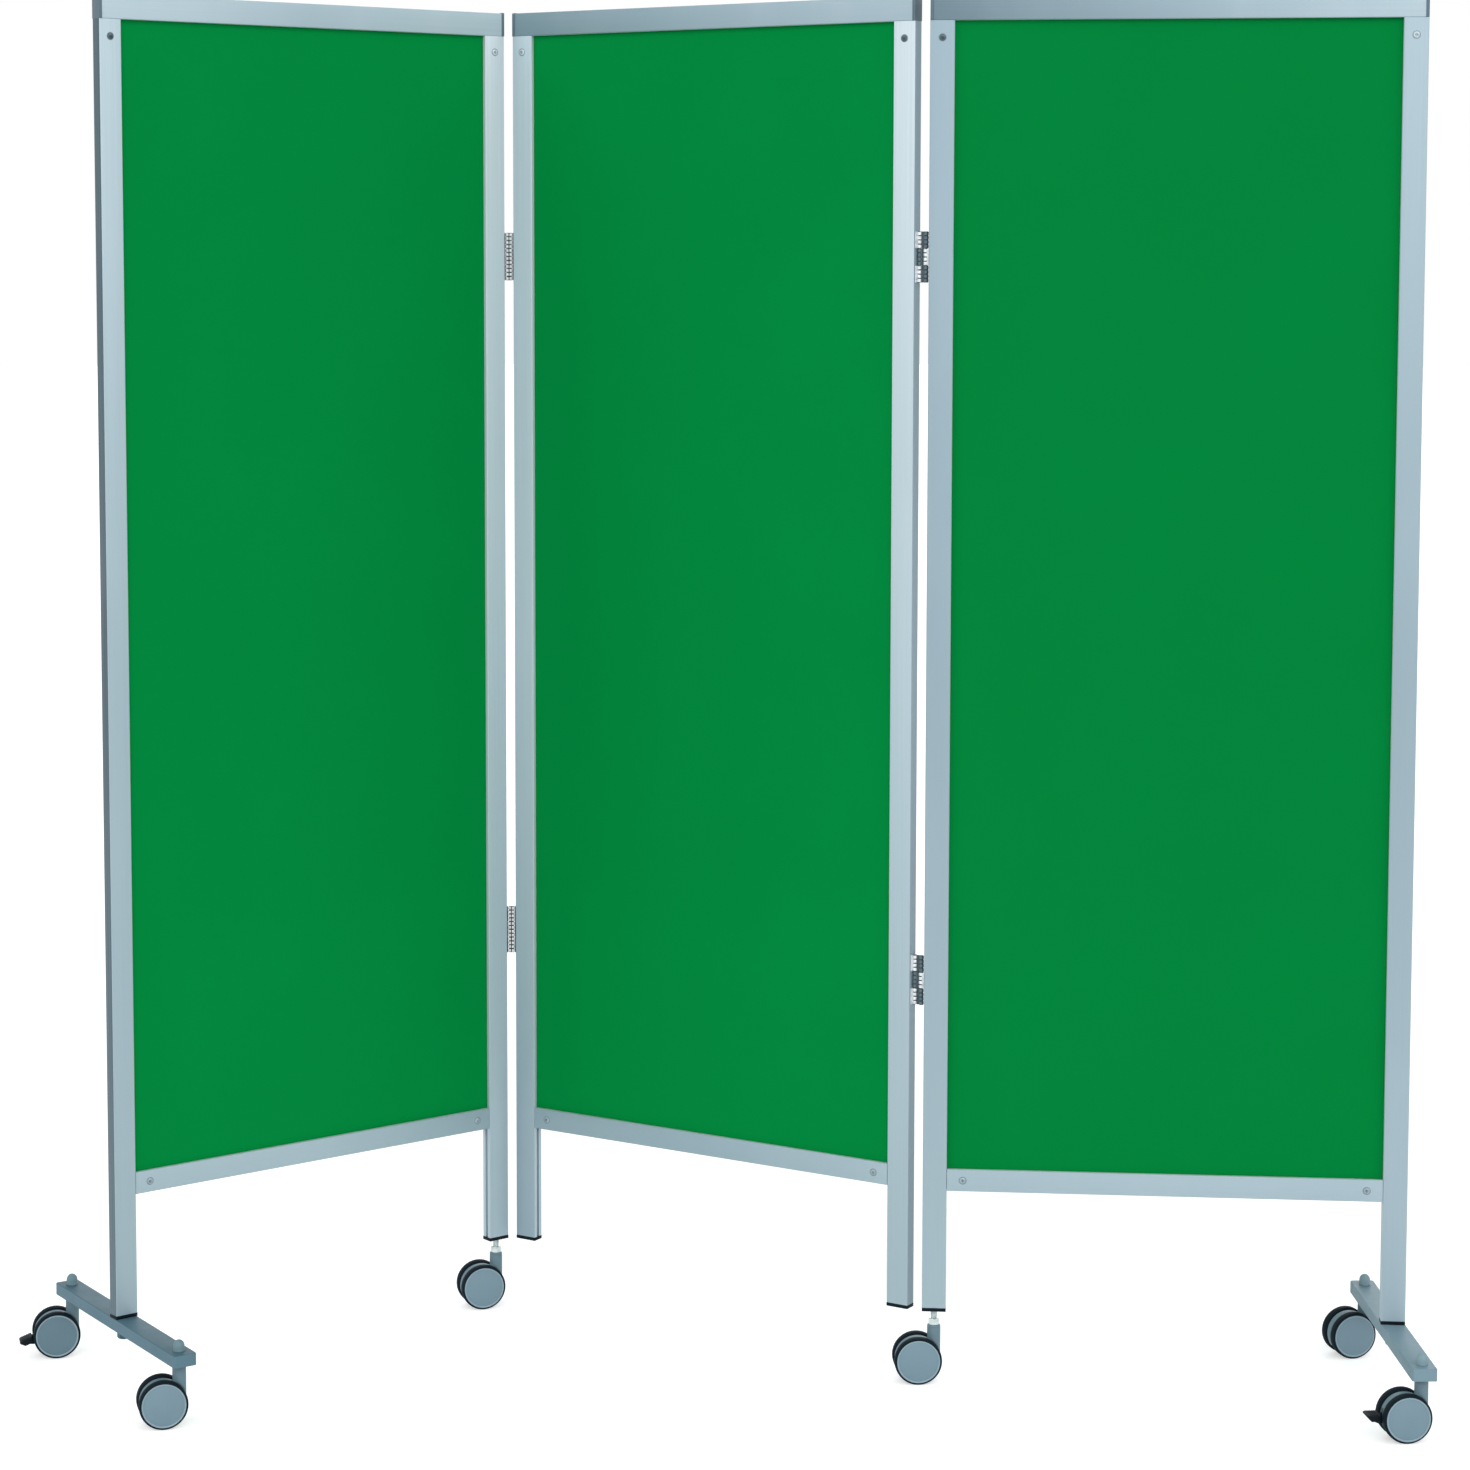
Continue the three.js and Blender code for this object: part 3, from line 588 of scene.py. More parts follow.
def addUpright(leaf, side, place):
    node = f"{leaf}_{side}_upright"
    bm = softened(node, frameSoftening["width"], frameSoftening["segments"])
    along = leafPlace(leaf).to_3x3() @ Vector((1, 0, 0))
    outward = along if place == "right" else -along
    bm.normal_update()
    # Painted shade: faces turned away from the sheet get the edge tone. Faces turned toward it get
    # a pale painted highlight.
    for face in bm.faces:
        facing = face.normal.dot(outward)
        face.material_index = 1 if facing > 0.8 else 2 if facing < -0.8 else 0
    finishes = [metals[leaf, place], metals[leaf, "edge"], metals[leaf, "paintedHighlightLip"]]
    addPiece(f"{node}_profile", bm, Matrix(), leaf, finishes, [node])


def addRails(leaf):
    for rail in ("top", "bottom"):
        node = f"{leaf}_{rail}_rail"
        bm = softened(node, frameSoftening["width"], frameSoftening["segments"])
        inward = -1 if rail == "top" else 1
        bm.normal_update()
        # Painted highlight: rail faces turned toward the sheet get a pale tone where they lie in
        # shade
        for face in bm.faces:
            face.material_index = 1 if face.normal.z * inward > 0.8 else 0
        finishes = [metals[leaf, rail], metals[leaf, "paintedHighlightLip"]]
        addPiece(f"{node}_profile", bm, Matrix(), leaf, finishes, [node])


def addCaps(leaf, side, upright):
    node = f"{leaf}_{side}_rail_cap"
    bm = softened(
        node, frameSoftening["capWidth"], frameSoftening["capSegments"],
        frameSoftening["capCorner"],
    )
    addPiece(f"{node}_moulding", bm, Matrix(), leaf, [railCapGrey], [node])
    if upright:
        node = f"{leaf}_{side}_upright_cap"
        bm = softened(node, frameSoftening["footCapWidth"], frameSoftening["segments"])
        addPiece(f"{node}_moulding", bm, Matrix(), leaf, [blackPlastic], [node])


for leaf, (left, right) in uprightNames.items():
    addUpright(leaf, left, "left")
    addUpright(leaf, right, "right")
    addRails(leaf)
    for side in (left, right):
        addCaps(leaf, side, f"{leaf}_{side}_upright_cap" in nodes)
    sheet = nodes[f"{leaf}_infill"]
    sheet.data.materials.clear()
    sheet.data.materials.append(laminate(f"{leaf}Laminate", leaf))
print("stage: leaves")


# Socket screws in the face of the uprights and the bottom rails, with a painted shadow ring round
# each head and painted shade in the sockets of the dark screws
screw = {
    "radius": 0.0040,
    "seatRadius": 0.0049,
    "proud": 0.0009,
    "socketRadius": 0.0021,
    "socketDepth": 0.0007,
    "uprightInset": 0.015,
    "uprightHeight": 1.684,
    "railInset": 0.050,
    "railHeight": 0.2608,
    "seatLow": -0.0004,
    "seatHigh": 0.00012,
    "sides": 32,
    "dark": [
        ("left_wing", "upper_left"), ("middle_leaf", "upper_right"), ("right_wing", "upper_left"),
    ],
}


def screwHead():
    r, proud, seat = screw["radius"], screw["proud"], screw["seatRadius"]
    outline = [
        (seat, screw["seatLow"]), (seat, screw["seatHigh"]), (r, screw["seatHigh"]),
        (r, 0.3 * proud), (0.93 * r, 0.7 * proud), (0.8 * r, proud),
    ]
    bm = spun(outline, (0, 0, 0), (0, 0, 1), screw["sides"])
    rim = [e for e in bm.edges if e.is_boundary and e.verts[0].co.z > 0.9 * proud]
    socket = bmesh.ops.create_circle(bm, cap_ends=False, radius=screw["socketRadius"], segments=6)
    bmesh.ops.translate(bm, vec=(0, 0, proud), verts=socket["verts"])
    inner = [e for e in bm.edges if all(v in socket["verts"] for v in e.verts)]
    bmesh.ops.bridge_loops(bm, edges=rim + inner)
    wall = bmesh.ops.extrude_edge_only(bm, edges=inner)
    low = [v for v in wall["geom"] if isinstance(v, bmesh.types.BMVert)]
    bmesh.ops.translate(bm, vec=(0, 0, -screw["socketDepth"]), verts=low)
    bmesh.ops.holes_fill(bm, edges=[e for e in bm.edges if e.is_boundary], sides=0)
    bmesh.ops.recalc_face_normals(bm, faces=bm.faces)
    # Painted shade: the socket pit of the dark screws and the ring round every head take their own
    # materials
    for face in bm.faces:
        centre = face.calc_center_median()
        reach = centre.xy.length
        inPit = reach < screw["socketRadius"] * 0.95 and centre.z < proud * 0.99
        onSeat = reach > r and centre.z < 2 * screw["seatHigh"]
        face.material_index = 2 if onSeat else int(inPit)
    return bm


def addScrews(leaf):
    half = leafSize["depth"] / 2
    width = leafSize["width"]
    spots = [
        ("upper_left", screw["uprightInset"], screw["uprightHeight"]),
        ("upper_right", width - screw["uprightInset"], screw["uprightHeight"]),
        ("lower_left", screw["railInset"], screw["railHeight"]),
        ("lower_right", width - screw["railInset"], screw["railHeight"]),
    ]
    for spot, x, z in spots:
        outward = Matrix.Translation((x, -half, z)) @ Matrix.Rotation(math.radians(90), 4, "X")
        dark = (leaf, spot) in screw["dark"]
        bright = screwZinc if spot.startswith("upper") else screwLowerTone
        finishes = [screwSteel, socketShade, seatShadowGrey] if dark else [bright, bright, seatShadowGrey]
        addPiece(
            f"{leaf}_{spot}_screw", screwHead(), leafPlace(leaf) @ outward, leaf, finishes
        )


for leaf in leaves:
    addScrews(leaf)
print("stage: screws")


# Hinges: ribbed barrels on the leaves and a link between the two pins, with painted light and
# shade: dark steel on the parts that lie in shade, near-white plates on the left link in its shaded
# gap, and dark grooves.
hinge = {
    "height": 0.063,
    "gap": 0.00015,
    "pinOut": 0.0036,
    "barrel": 0.0032,
    "groove": 0.0007,
    "ribs": 4,
    "linkHalf": 0.0021,
    "linkPlates": 12,
    "slit": 0.0006,
    "columnGap": 0.0004,
    "plate": 0.0012,
    "plateHalf": 0.006,
    "pin": 0.0019,
    "pinTip": 0.0012,
    "pinChamfer": 0.0006,
    "facePlay": 0.0003,
    "edge": 0.0003,
    "strapShort": 0.0004,
    "strapThin": 0.0007,
    "strapShare": 0.8,
    "coreShort": 0.0002,
    "coreThin": 0.0006,
    "barrelSides": 28,
    "pinSides": 24,
    "bases": {"upper": 1.385, "lower": 0.482},
}
hingePlaces = {
    "left": {
        "first": ("left_wing", (-0.254013, 0.287157)),
        "second": ("middle_leaf", (-0.239423, 0.287701)),
        "linkYaw": 2.135,
        "pinSpacing": 0.0146,
        # Painted shade on the left hinge's leaf barrels, painted light on its link plates
        "finishes": (paintedShadeSteel, linkPaintedLightSteel),
        "names": ("wing", "middle"),
    },
    "right": {
        "first": ("middle_leaf", (0.270279, -0.042292)),
        "second": ("right_wing", (0.277666, -0.047075)),
        "linkYaw": leaves["middle_leaf"]["yaw"],
        "pinSpacing": 0.0088,
        # Painted shade on the right hinge's link plates
        "finishes": (chrome, paintedShadeSteel),
        "names": ("middle", "wing"),
    },
}


def thirdSpan(third):
    step = hinge["height"] / 3
    return third * step + hinge["gap"], (third + 1) * step - hinge["gap"]


def barrel(x, third):
    low, high = thirdSpan(third)
    r, groove = hinge["barrel"], hinge["groove"]
    outline = [(0, low)]
    step = (high - low) / hinge["ribs"]
    for rib in range(hinge["ribs"]):
        start = low + rib * step
        outline += [
            (r - groove, start), (r, start + groove), (r, start + step - groove),
            (r - groove, start + step),
        ]
    outline.append((0, high))
    bm = spun(outline, (x, 0, 0), (0, 0, 1), hinge["barrelSides"])
    bm.normal_update()
    for face in bm.faces:
        # Painted shade: the groove faces take the dark groove steel
        face.material_index = 1 if abs(face.normal.z) > 0.3 else 0
    return bm


def hingeLeaf(thirds):
    face = -hinge["pinOut"] + hinge["facePlay"]
    half, edge, short = hinge["plateHalf"], hinge["edge"], hinge["strapShort"]
    low, high = hinge["gap"], hinge["height"] - hinge["gap"]
    r, tip, chamfer = hinge["pin"], hinge["pinTip"], hinge["pinChamfer"]
    pin = [(0, low), (tip, low), (r, low + chamfer), (r, high - chamfer), (tip, high), (0, high)]
    bm = spun(pin, (0, 0, 0), (0, 0, 1), hinge["pinSides"])
    for third in thirds:
        start, end = thirdSpan(third)
        join(bm, block((face, -half, start), (face + hinge["plate"], half, end), edge))
        strap = hinge["barrel"] * hinge["strapShare"]
        near = (face + hinge["plate"] / 2, -strap, start + short)
        join(bm, block(near, (0, strap, end - short), edge))
        join(bm, barrel(0, third))
    return bm


# Two columns of short plates on a core painted dark as shade between the pins, with the link's own
# barrels
def hingeLink(pinSpacing):
    middle, half = pinSpacing / 2, hinge["linkHalf"]
    inner = hinge["columnGap"]
    outer = middle - hinge["barrel"] - hinge["edge"]
    short, thin = hinge["coreShort"], hinge["coreThin"]
    bm = bmesh.new()
    step = hinge["height"] / hinge["linkPlates"]
    for plate in range(hinge["linkPlates"]):
        start, end = plate * step + hinge["slit"], (plate + 1) * step - hinge["slit"]
        for near, far in ((middle - outer, middle - inner), (middle + inner, middle + outer)):
            join(bm, block((near, -half, start), (far, half, end), (far - near) * 0.3))
    low = (middle - outer + short, -half + thin, hinge["gap"])
    high = (middle + outer - short, half - thin, hinge["height"] - hinge["gap"])
    core = block(low, high, short)
    # Painted shade: the core takes the dark groove steel
    for face in core.faces:
        face.material_index = 1
    join(bm, core)
    short, thin = hinge["strapShort"], hinge["strapThin"]
    knuckles = ((0, 1), (pinSpacing, 0), (pinSpacing, 2))
    for x, third in knuckles:
        start, end = thirdSpan(third)
        near, far = sorted((x, middle))
        strap = (near, -half + thin, start + short), (far, half - thin, end - short)
        join(bm, block(*strap, hinge["edge"]))
        turned = barrel(x, third)
        for face in turned.faces:
            # Painted shade: the link's own barrels take the dark hinge steel, their grooves the
            # groove steel
            face.material_index = face.material_index or 2
        join(bm, turned)
    return bm


def addHinges(side):
    spot = hingePlaces[side]
    firstBody, firstPin = spot["first"]
    secondBody, secondPin = spot["second"]
    firstName, secondName = spot["names"]
    for level, base in hinge["bases"].items():
        prefix = f"{side}_{level}_hinge"
        node = f"{prefix}_{firstName}_leaf"
        place = placeAt(*firstPin, base, leaves[firstBody]["yaw"])
        leafSteel, platesSteel = spot["finishes"]
        finishes = [leafSteel, grooveShadeSteel]
        addPiece(f"{node}_barrels", hingeLeaf([0, 2]), place, firstBody, finishes, [node])
        node = f"{prefix}_link"
        place = placeAt(*firstPin, base, spot["linkYaw"])
        plates = [platesSteel, grooveShadeSteel, paintedShadeSteel]
        link = hingeLink(spot["pinSpacing"])
        addPiece(f"{node}_plates", link, place, "middle_leaf", plates, [node])
        node = f"{prefix}_{secondName}_leaf"
        place = placeAt(*secondPin, base, leaves[secondBody]["yaw"] + 180)
        addPiece(f"{node}_barrel", hingeLeaf([1]), place, secondBody, finishes, [node])


addHinges("left")
addHinges("right")
print("stage: hinges")


# Castors, each built about its stem with the wheels behind it along -X
castor = {
    "wheelX": -0.021,
    "wheelZ": 0.030,
    "webHalf": 0.006,
    "webRadius": 0.028,
    "webFloorGap": 0.014,
    "postRadius": 0.0084,
    "footPostTop": 0.0762,
    "middlePostTop": 0.0730,
    "postFoot": 0.034,
    "wheelClearance": 0.031,
    "wheelRoom": 0.02,
    "axleRadius": 0.0030,
    "axleHalf": 0.0066,
    "rimFrom": (0.0249, 0.0185),
    "steps": 72,
    "axleSides": 32,
}
castors = {
    "left_front": {"stem": (-0.636319, -0.206724), "yaw": 14.29, "body": "left_wing"},
    "left_rear": {
        "stem": (-0.809507, 0.069468), "yaw": 12.99, "body": "left_wing", "pedal": 22,
        "disc": discShade,
    },
    "left_inner": {"stem": (-0.268831, 0.275914), "yaw": 16.49, "body": "left_wing"},
    "right_front": {"stem": (0.863041, -0.271600), "yaw": 6, "body": "right_wing", "pedal": 0},
    "right_rear": {"stem": (0.863041, 0.054400), "yaw": 13, "body": "right_wing"},
    "right_inner": {"stem": (0.296164, -0.049019), "yaw": 2, "body": "right_wing"},
}
tyreOutline = [
    (0.0268, 0.0078), (0.0276, 0.0070), (0.0283, 0.0072), (0.0293, 0.0082), (0.0299, 0.0094),
    (0.0300, 0.0106), (0.0300, 0.0158), (0.0299, 0.0168), (0.0294, 0.0178), (0.0286, 0.0187),
    (0.0278, 0.0191), (0.0272, 0.0190), (0.0268, 0.0186),
]
discOutline = [
    (0, 0.0193), (0.0236, 0.0193), (0.0243, 0.0190), (0.0247, 0.0188), (0.0251, 0.0190),
    (0.0255, 0.0194), (0.0261, 0.0196), (0.0268, 0.0194), (0.0272, 0.0189), (0.0272, 0.0160),
    (0, 0.0160),
]
webRim = [(-0.0018, 0), (-0.0005, 0.0006), (0, 0.0020)]  # from the corner of the web
postEdge = [  # from the top corner of the post
    (0, -0.0030), (-0.0006, -0.0026), (-0.0006, -0.0019), (0, -0.0015), (0, -0.0009),
    (-0.0003, -0.0003), (-0.0009, 0),
]
belowWeb = ((-0.08, -0.02, -0.02), (0.04, 0.02))
pedalSlot = ((-0.060, -0.0031, 0), (-0.0295, 0.0031, 0.0395))
hubOutline = [
    (0, 0.0063), (0.0096, 0.0063), (0.0100, 0.0068), (0.0100, 0.0098), (0.0106, 0.0104),
    (0.0246, 0.0104), (0.0252, 0.0098), (0.0256, 0.0076), (0.0270, 0.0074), (0.0270, 0.0162),
    (0, 0.0162),
]


def bothSides(bm):
    half = bmesh.ops.duplicate(bm, geom=bm.verts[:] + bm.edges[:] + bm.faces[:])
    copied = [v for v in half["geom"] if isinstance(v, bmesh.types.BMVert)]
    bmesh.ops.scale(bm, vec=(1, -1, 1), verts=copied)
    bmesh.ops.recalc_face_normals(bm, faces=bm.faces)
    return bm


def wheelPart(outline, loop):
    centre = (castor["wheelX"], 0, castor["wheelZ"])
    return bothSides(spun(outline, centre, (0, 1, 0), castor["steps"], loop))


def discs():
    bm = wheelPart(discOutline, False)
    # The raised rim takes a painted highlight
    for face in bm.faces:
        away = face.calc_center_median() - Vector((castor["wheelX"], 0, castor["wheelZ"]))
        reach, out = castor["rimFrom"]
        onHighlightRim = math.hypot(away.x, away.z) > reach and abs(away.y) > out
        face.material_index = 1 if onHighlightRim else 0
    return bm


def housing(postTop, slotted):
    centre = (castor["wheelX"], 0, castor["wheelZ"])
    r, half = castor["webRadius"], castor["webHalf"]
    rim = [(0, -half)] + [(r + dr, -half + dt) for dr, dt in webRim]
    rim += [(r + dr, half - dt) for dr, dt in reversed(webRim)] + [(0, half)]
    web = spun(rim, centre, (0, 1, 0), castor["steps"])
    low = block(belowWeb[0], (*belowWeb[1], castor["webFloorGap"]))
    p, start = castor["postRadius"], castor["postFoot"]
    outline = [(0, start), (p, start)] + [(p + dr, postTop + dz) for dr, dz in postEdge]
    post = spun(outline + [(0, postTop)], (0, 0, 0), (0, 0, 1), castor["steps"])
    clear, room = castor["wheelClearance"], castor["wheelRoom"]
    gaps = []
    for side in (1, -1):
        ring = [(0, side * half), (clear, side * half), (clear, side * room), (0, side * room)]
        gaps.append(("DIFFERENCE", spun(ring, centre, (0, 1, 0), castor["steps"])))
    trimmed = combined(post, gaps)
    cuts = [("DIFFERENCE", low), ("UNION", trimmed)]
    if slotted:
        cuts.append(("DIFFERENCE", block(*pedalSlot)))
    return combined(web, cuts)


def axle():
    r, half = castor["axleRadius"], castor["axleHalf"]
    centre = (castor["wheelX"], 0, castor["wheelZ"])
    outline = [(0, -half), (r, -half), (r, half), (0, half)]
    return spun(outline, centre, (0, 1, 0), castor["axleSides"])


# Domed cap above a foot bar, with the end of the stem below it
dome = {
    "base": 0.09155, "radius": 0.0074, "skirt": 0.0062, "height": 0.0140, "inset": 0.0005,
    "foot": [(-0.0004, 0), (0, 0.0005), (0, 0.0014), (-0.0005, 0.0018)],
    "rod": 0.0039, "rodBelow": 0.004, "rodAbove": 0.001, "sides": 48, "rodSides": 32,
}


def domeCap():
    base, skirt = dome["base"], dome["skirt"]
    inner = dome["radius"] - dome["inset"]
    rise = dome["height"] - skirt
    outline = [(0, base)] + [(dome["radius"] + dr, base + dz) for dr, dz in dome["foot"]]
    outline.append((inner, base + skirt))
    for degrees in range(10, 90, 10):
        turn = math.radians(degrees)
        outline.append((inner * math.cos(turn), base + skirt + rise * math.sin(turn)))
    outline.append((0, base + dome["height"]))
    bm = spun(outline, (0, 0, 0), (0, 0, 1), dome["sides"])
    rod, low, high = dome["rod"], castor["footPostTop"] - dome["rodBelow"], base + dome["rodAbove"]
    outline = [(0, low), (rod, low), (rod, high), (0, high)]
    return join(bm, spun(outline, (0, 0, 0), (0, 0, 1), dome["rodSides"]))


# Threaded stem of an inner castor with its lock nut
thread = {
    "core": 0.0034, "crest": 0.0040, "pitch": 0.00125, "low": 0.0715, "turns": 22,
    "nutFlats": 0.0124, "nutHeight": 0.0085, "nutRise": 0.0003, "nutBore": 0.0039, "steps": 24,
    "profile": [(0, 0), (0, 0.15), (1, 0.45), (1, 0.6), (0, 0.9), (0, 1)],
}


def threadedStem():
    bm = bmesh.new()
    radii, pitch = (thread["core"], thread["crest"]), thread["pitch"]
    points = [
        bm.verts.new((radii[crest], 0, thread["low"] + share * pitch))
        for crest, share in thread["profile"]
    ]
    lines = [bm.edges.new(pair) for pair in zip(points, points[1:])]
    bmesh.ops.spin(
        bm, geom=points + lines, cent=(0, 0, 0), axis=(0, 0, 1),
        dvec=(0, 0, pitch / thread["steps"]), angle=math.tau * thread["turns"],
        steps=thread["steps"] * thread["turns"], use_merge=False, use_duplicate=False,
    )
    bmesh.ops.remove_doubles(bm, verts=bm.verts, dist=meshing["merge"])
    bmesh.ops.holes_fill(bm, edges=[e for e in bm.edges if e.is_boundary], sides=0)
    bmesh.ops.recalc_face_normals(bm, faces=bm.faces)
    return bm


# A hexagon nut with turned corners, with a bore where one is given
turnedNut = {
    "face": 0.46, "edge": 0.49, "corner": 0.64, "slope": 0.16, "over": 0.001,
    "boreBelow": 0.01, "boreAbove": 0.05, "sides": 48, "boreSides": 32,
}


def lockNut(flats, low, tall, bore):
    bm = bmesh.new()
    across = flats / math.cos(math.radians(30)) / 2
    bmesh.ops.create_cone(
        bm, cap_ends=True, segments=6, radius1=across, radius2=across, depth=tall,
        matrix=Matrix.Translation((0, 0, low + tall / 2)),
    )
    face, edge, corner = [flats * turnedNut[part] for part in ("face", "edge", "corner")]
    over, slope = turnedNut["over"], tall * turnedNut["slope"]
    high = low + tall
    cone = [
        (0, low - over), (face, low - over), (edge, low), (corner, low + slope),
        (corner, high - slope), (edge, high), (face, high + over), (0, high + over),
    ]
    steps = [("INTERSECT", spun(cone, (0, 0, 0), (0, 0, 1), turnedNut["sides"]))]
    if bore:
        start, end = low - turnedNut["boreBelow"], low + turnedNut["boreAbove"]
        hole = [(0, start), (bore, start), (bore, end), (0, end)]
        steps.append(("DIFFERENCE", spun(hole, (0, 0, 0), (0, 0, 1), turnedNut["boreSides"])))
    return combined(bm, steps)


# Brake pedal about its pivot: a neck between the cheeks and a ribbed tread
pedal = {
    "pivot": (-0.039, 0, 0.029),
    "neckHalf": 0.0028,
    "neckEdge": 0.0005,
    "treadHalf": 0.0108,
    "treadEdge": 0.0008,
    "rise": 0.005,
    "ribs": 5,
    "ribStart": -0.0264,
    "ribStep": 0.0022,
    "ribWidth": 0.0010,
    "ribProud": 0.0005,
    "ribInset": 0.0014,
    "ribEdge": 0.0003,
    "pinRadius": 0.0019,
    "pinHalf": 0.0059,
    "pinSides": 24,
}
neckOutline = [
    (0.0026, -0.0026), (0.0026, 0.0026), (0, 0.0054), (-0.0133, 0.0044), (-0.0188, 0.0044),
    (-0.0188, -0.0055), (-0.0133, -0.0079), (0, -0.0054),
]
treadOutline = [
    (-0.0133, 0.005), (-0.0193, 0.0046), (-0.028, 0.005), (-0.030, 0.0042), (-0.030, 0.0024),
    (-0.0248, -0.0028), (-0.0133, -0.0026),
]


def slab(outline, half, edge):
    bm = bmesh.new()
    points = [bm.verts.new((x, -half, z)) for x, z in outline]
    face = bm.faces.new(points)
    bm.normal_update()
    grown = bmesh.ops.extrude_face_region(bm, geom=[face])
    moved = [v for v in grown["geom"] if isinstance(v, bmesh.types.BMVert)]
    bmesh.ops.translate(bm, vec=(0, 2 * half, 0), verts=moved)
    bmesh.ops.recalc_face_normals(bm, faces=bm.faces)
    rounded(bm, sharpEdges(bm, 20), edge, 2)
    return bm


def brakePedal():
    bm = slab(neckOutline, pedal["neckHalf"], pedal["neckEdge"])
    join(bm, slab(treadOutline, pedal["treadHalf"], pedal["treadEdge"]))
    half, wide = pedal["treadHalf"] - pedal["ribInset"], pedal["ribWidth"]
    low, high = pedal["rise"] - wide, pedal["rise"] + pedal["ribProud"]
    for rib in range(pedal["ribs"]):
        x = pedal["ribStart"] + rib * pedal["ribStep"]
        join(bm, block((x, -half, low), (x + wide, half, high), pedal["ribEdge"]))
    r, half = pedal["pinRadius"], pedal["pinHalf"]
    pin = [(0, -half), (r, -half), (r, half), (0, half)]
    return join(bm, spun(pin, (0, 0, 0), (0, 1, 0), pedal["pinSides"]))


def addCastor(name):
    spot = castors[name]
    place = placeAt(*spot["stem"], 0, spot["yaw"])
    inner = name.endswith("inner")
    stemNode, wheelNode = f"{name}_castor_stem", f"{name}_castor_wheels"
    fork, wheels, leaf = f"{name}_fork", f"{name}_wheels", spot["body"]
    top = castor["middlePostTop"] if inner else castor["footPostTop"]
    node = f"{name}_castor_housing"
    shell = housing(top, "pedal" in spot)
    addPiece(f"{node}_shell", shell, place, fork, [housingGrey], [node], 28)
    tyres = wheelPart(tyreOutline, True)
    addPiece(f"{name}_tyres", tyres, place, wheels, [blackRubber], [wheelNode])
    # The left rear discs take the darker grey, painted shade, and every rim takes a painted
    # highlight
    faces = [spot.get("disc", discGrey), rimHighlightGrey]
    addPiece(f"{name}_discs", discs(), place, wheels, faces, [wheelNode])
    hubs = join(wheelPart(hubOutline, False), axle())
    addPiece(f"{name}_hubs", hubs, place, wheels, [blackPlastic], [wheelNode])
    if inner:
        addPiece(f"{name}_thread", threadedStem(), place, leaf, [zinc], [stemNode])
        low = top + thread["nutRise"]
        nut = lockNut(thread["nutFlats"], low, thread["nutHeight"], thread["nutBore"])
        addPiece(f"{name}_lock_nut", nut, place, leaf, [zinc], [stemNode], 25)
    else:
        # The domed cap takes its side's lit or shaded copy of the paint
        paint = footPaintsLitAndShaded[name.split("_")[0]]["dome"]
        addPiece(f"{name}_dome_cap", domeCap(), place, leaf, [paint], [stemNode])
    if "pedal" in spot:
        node = f"{name}_brake_pedal"
        pressed = Matrix.Rotation(math.radians(-spot["pedal"]), 4, "Y")
        turned = place @ Matrix.Translation(pedal["pivot"]) @ pressed
        body = f"{name}_pedal"
        addPiece(f"{node}_moulding", brakePedal(), turned, body, [blackPlastic], [node])


for name in castors:
    addCastor(name)
print("stage: castors")


# Foot bars under the outer uprights
foot = {
    "length": 0.364,
    "width": 0.030,
    "low": 0.0765,
    "high": 0.0915,
    "wall": 0.0022,
    "corner": 0.003,
    "edge": 0.0009,
    "castorReach": 0.163,
    "bossRadius": 0.0080,
    "bossEdge": 0.0004,
    "bossDrop": 0.0015,
    "bossSides": 40,
    "nutFlats": 0.015,
    "nutHeight": 0.012,
    "spacerEdge": 0.0004,
    "spacerPlay": 0.00005,
}
feet = {
    "left": {"centre": (-0.722913, -0.068628), "yaw": 32.09, "body": "left_wing"},
    "right": {"centre": (0.863041, -0.108600), "yaw": 0, "body": "right_wing"},
}


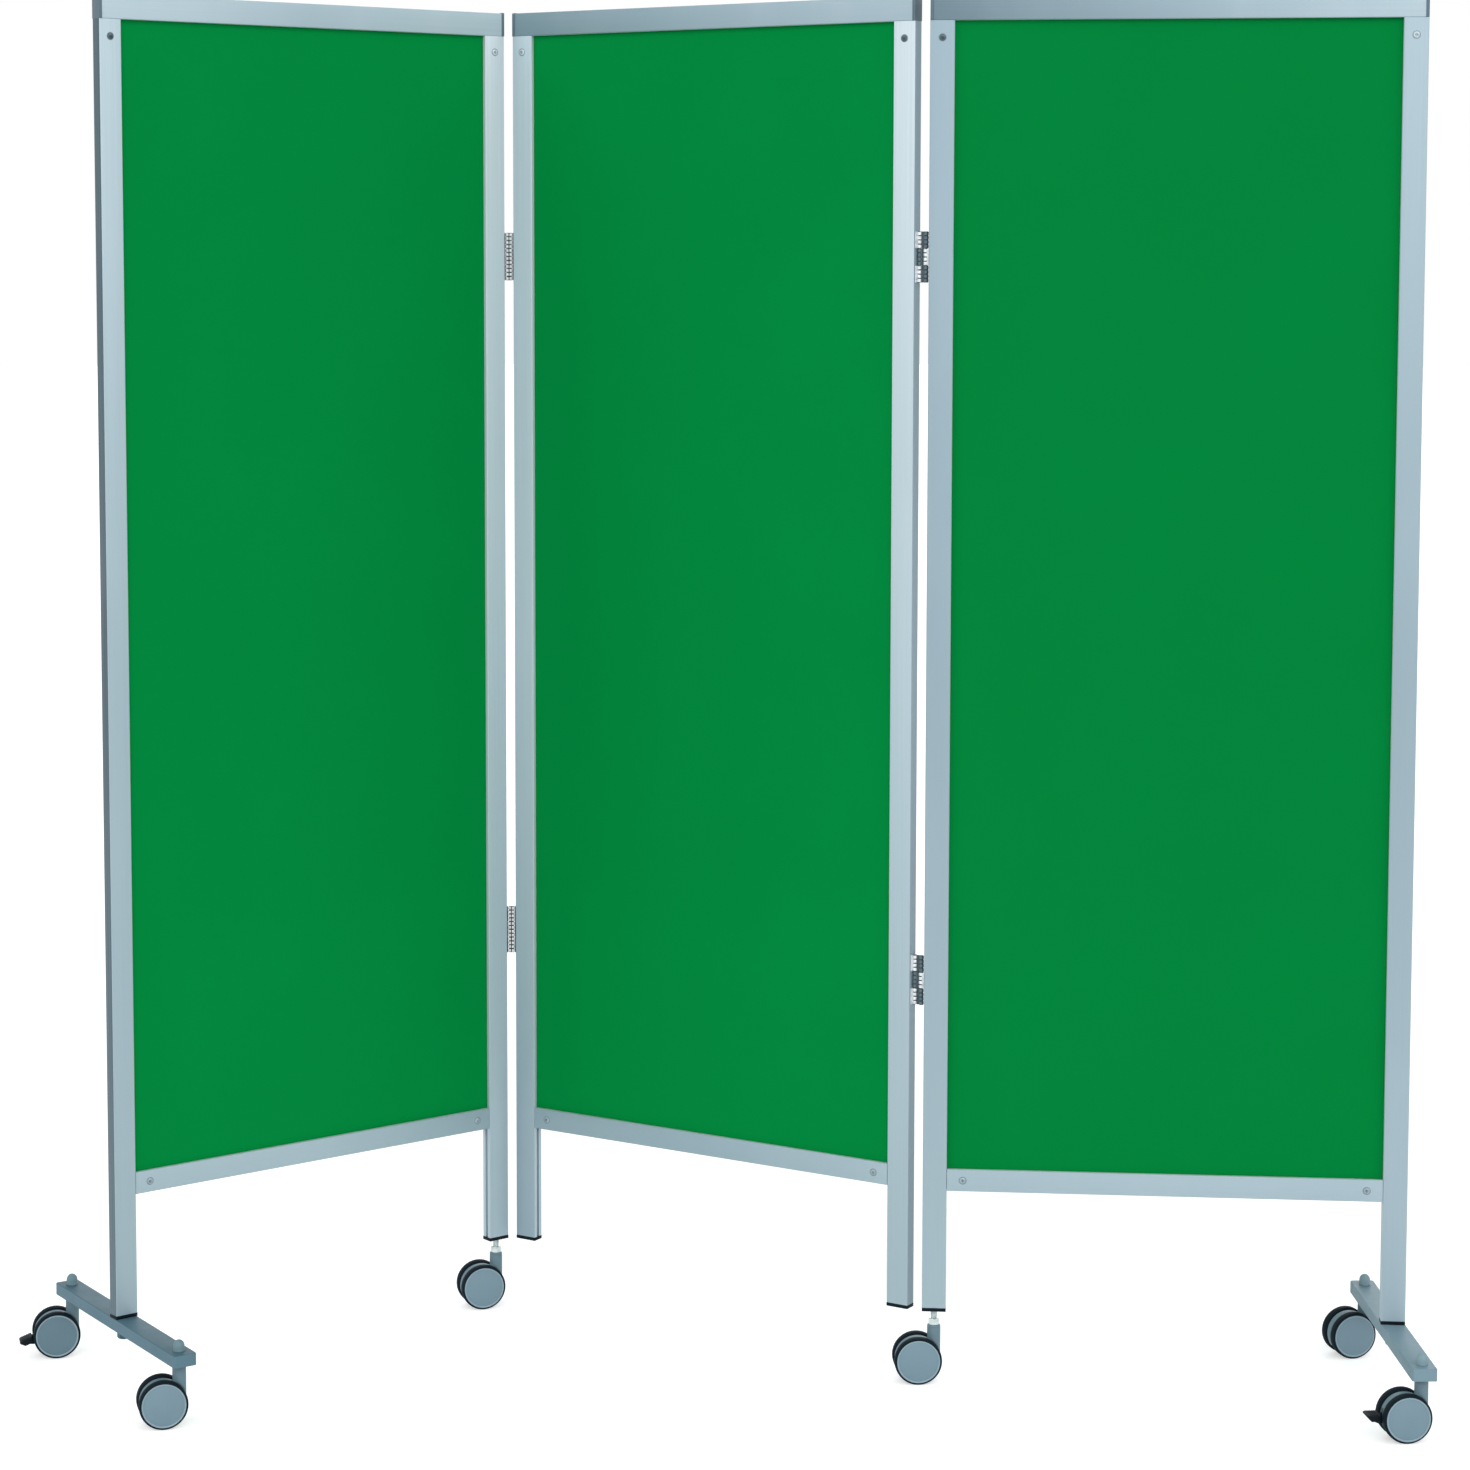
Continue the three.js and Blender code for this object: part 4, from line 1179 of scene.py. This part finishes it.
def footChannel():
    half, long = foot["width"] / 2, foot["length"] / 2
    bm = block((-half, -long, foot["low"]), (half, long, foot["high"]))
    uprightEdges = [e for e in bm.edges if abs(e.verts[0].co.z - e.verts[1].co.z) > 0.001]
    rounded(bm, uprightEdges, foot["corner"], 5)
    bm.normal_update()
    top = [e for e in sharpEdges(bm, 60) if min(v.co.z for v in e.verts) > foot["high"] - 1e-5]
    rounded(bm, top, foot["edge"], 3)
    bm.normal_update()
    under = [f for f in bm.faces if f.normal.z < -0.9]
    bmesh.ops.inset_region(bm, faces=under, thickness=foot["wall"], use_even_offset=True)
    bmesh.ops.translate(
        bm, vec=(0, 0, foot["high"] - foot["low"] - foot["wall"]),
        verts=list({v for f in under for v in f.verts}),
    )
    bm.normal_update()
    # Painted light and shade: the side faces take the flank copy of the paint, the rest the top
    # copy
    for face in bm.faces:
        face.material_index = 1 if abs(face.normal.z) < 0.6 else 0
    r, edge = foot["bossRadius"], foot["bossEdge"]
    low, high = foot["low"], foot["high"] - foot["bossDrop"]
    boss = [(0, low), (r - edge, low), (r, low + edge), (r, high), (0, high)]
    for y in (-foot["castorReach"], 0, foot["castorReach"]):
        join(bm, spun(boss, (0, y, 0), (0, 0, 1), foot["bossSides"]))
    return bm


def addFoot(side):
    spot = feet[side]
    node = f"{side}_foot_bar"
    place = placeAt(*spot["centre"], 0, spot["yaw"])
    paints = [footPaintsLitAndShaded[side]["top"], footPaintsLitAndShaded[side]["flank"]]
    addPiece(f"{node}_channel", footChannel(), place, spot["body"], paints, [node])
    nut = lockNut(foot["nutFlats"], foot["low"] - foot["nutHeight"], foot["nutHeight"], 0)
    addPiece(f"{side}_foot_nut", nut, place, spot["body"], paints, [node], 25)
    half, depth = leafSize["face"] / 2, leafSize["depth"] / 2
    top = leafSize["bottom"] - foot["spacerPlay"]
    spacer = block((-half, -depth, foot["high"]), (half, depth, top), foot["spacerEdge"])
    square = placeAt(*spot["centre"], 0, leaves[spot["body"]]["yaw"])
    addPiece(f"{side}_foot_spacer", spacer, square, spot["body"], [blackPlastic], [node])


addFoot("left")
addFoot("right")
print("stage: foot bars")
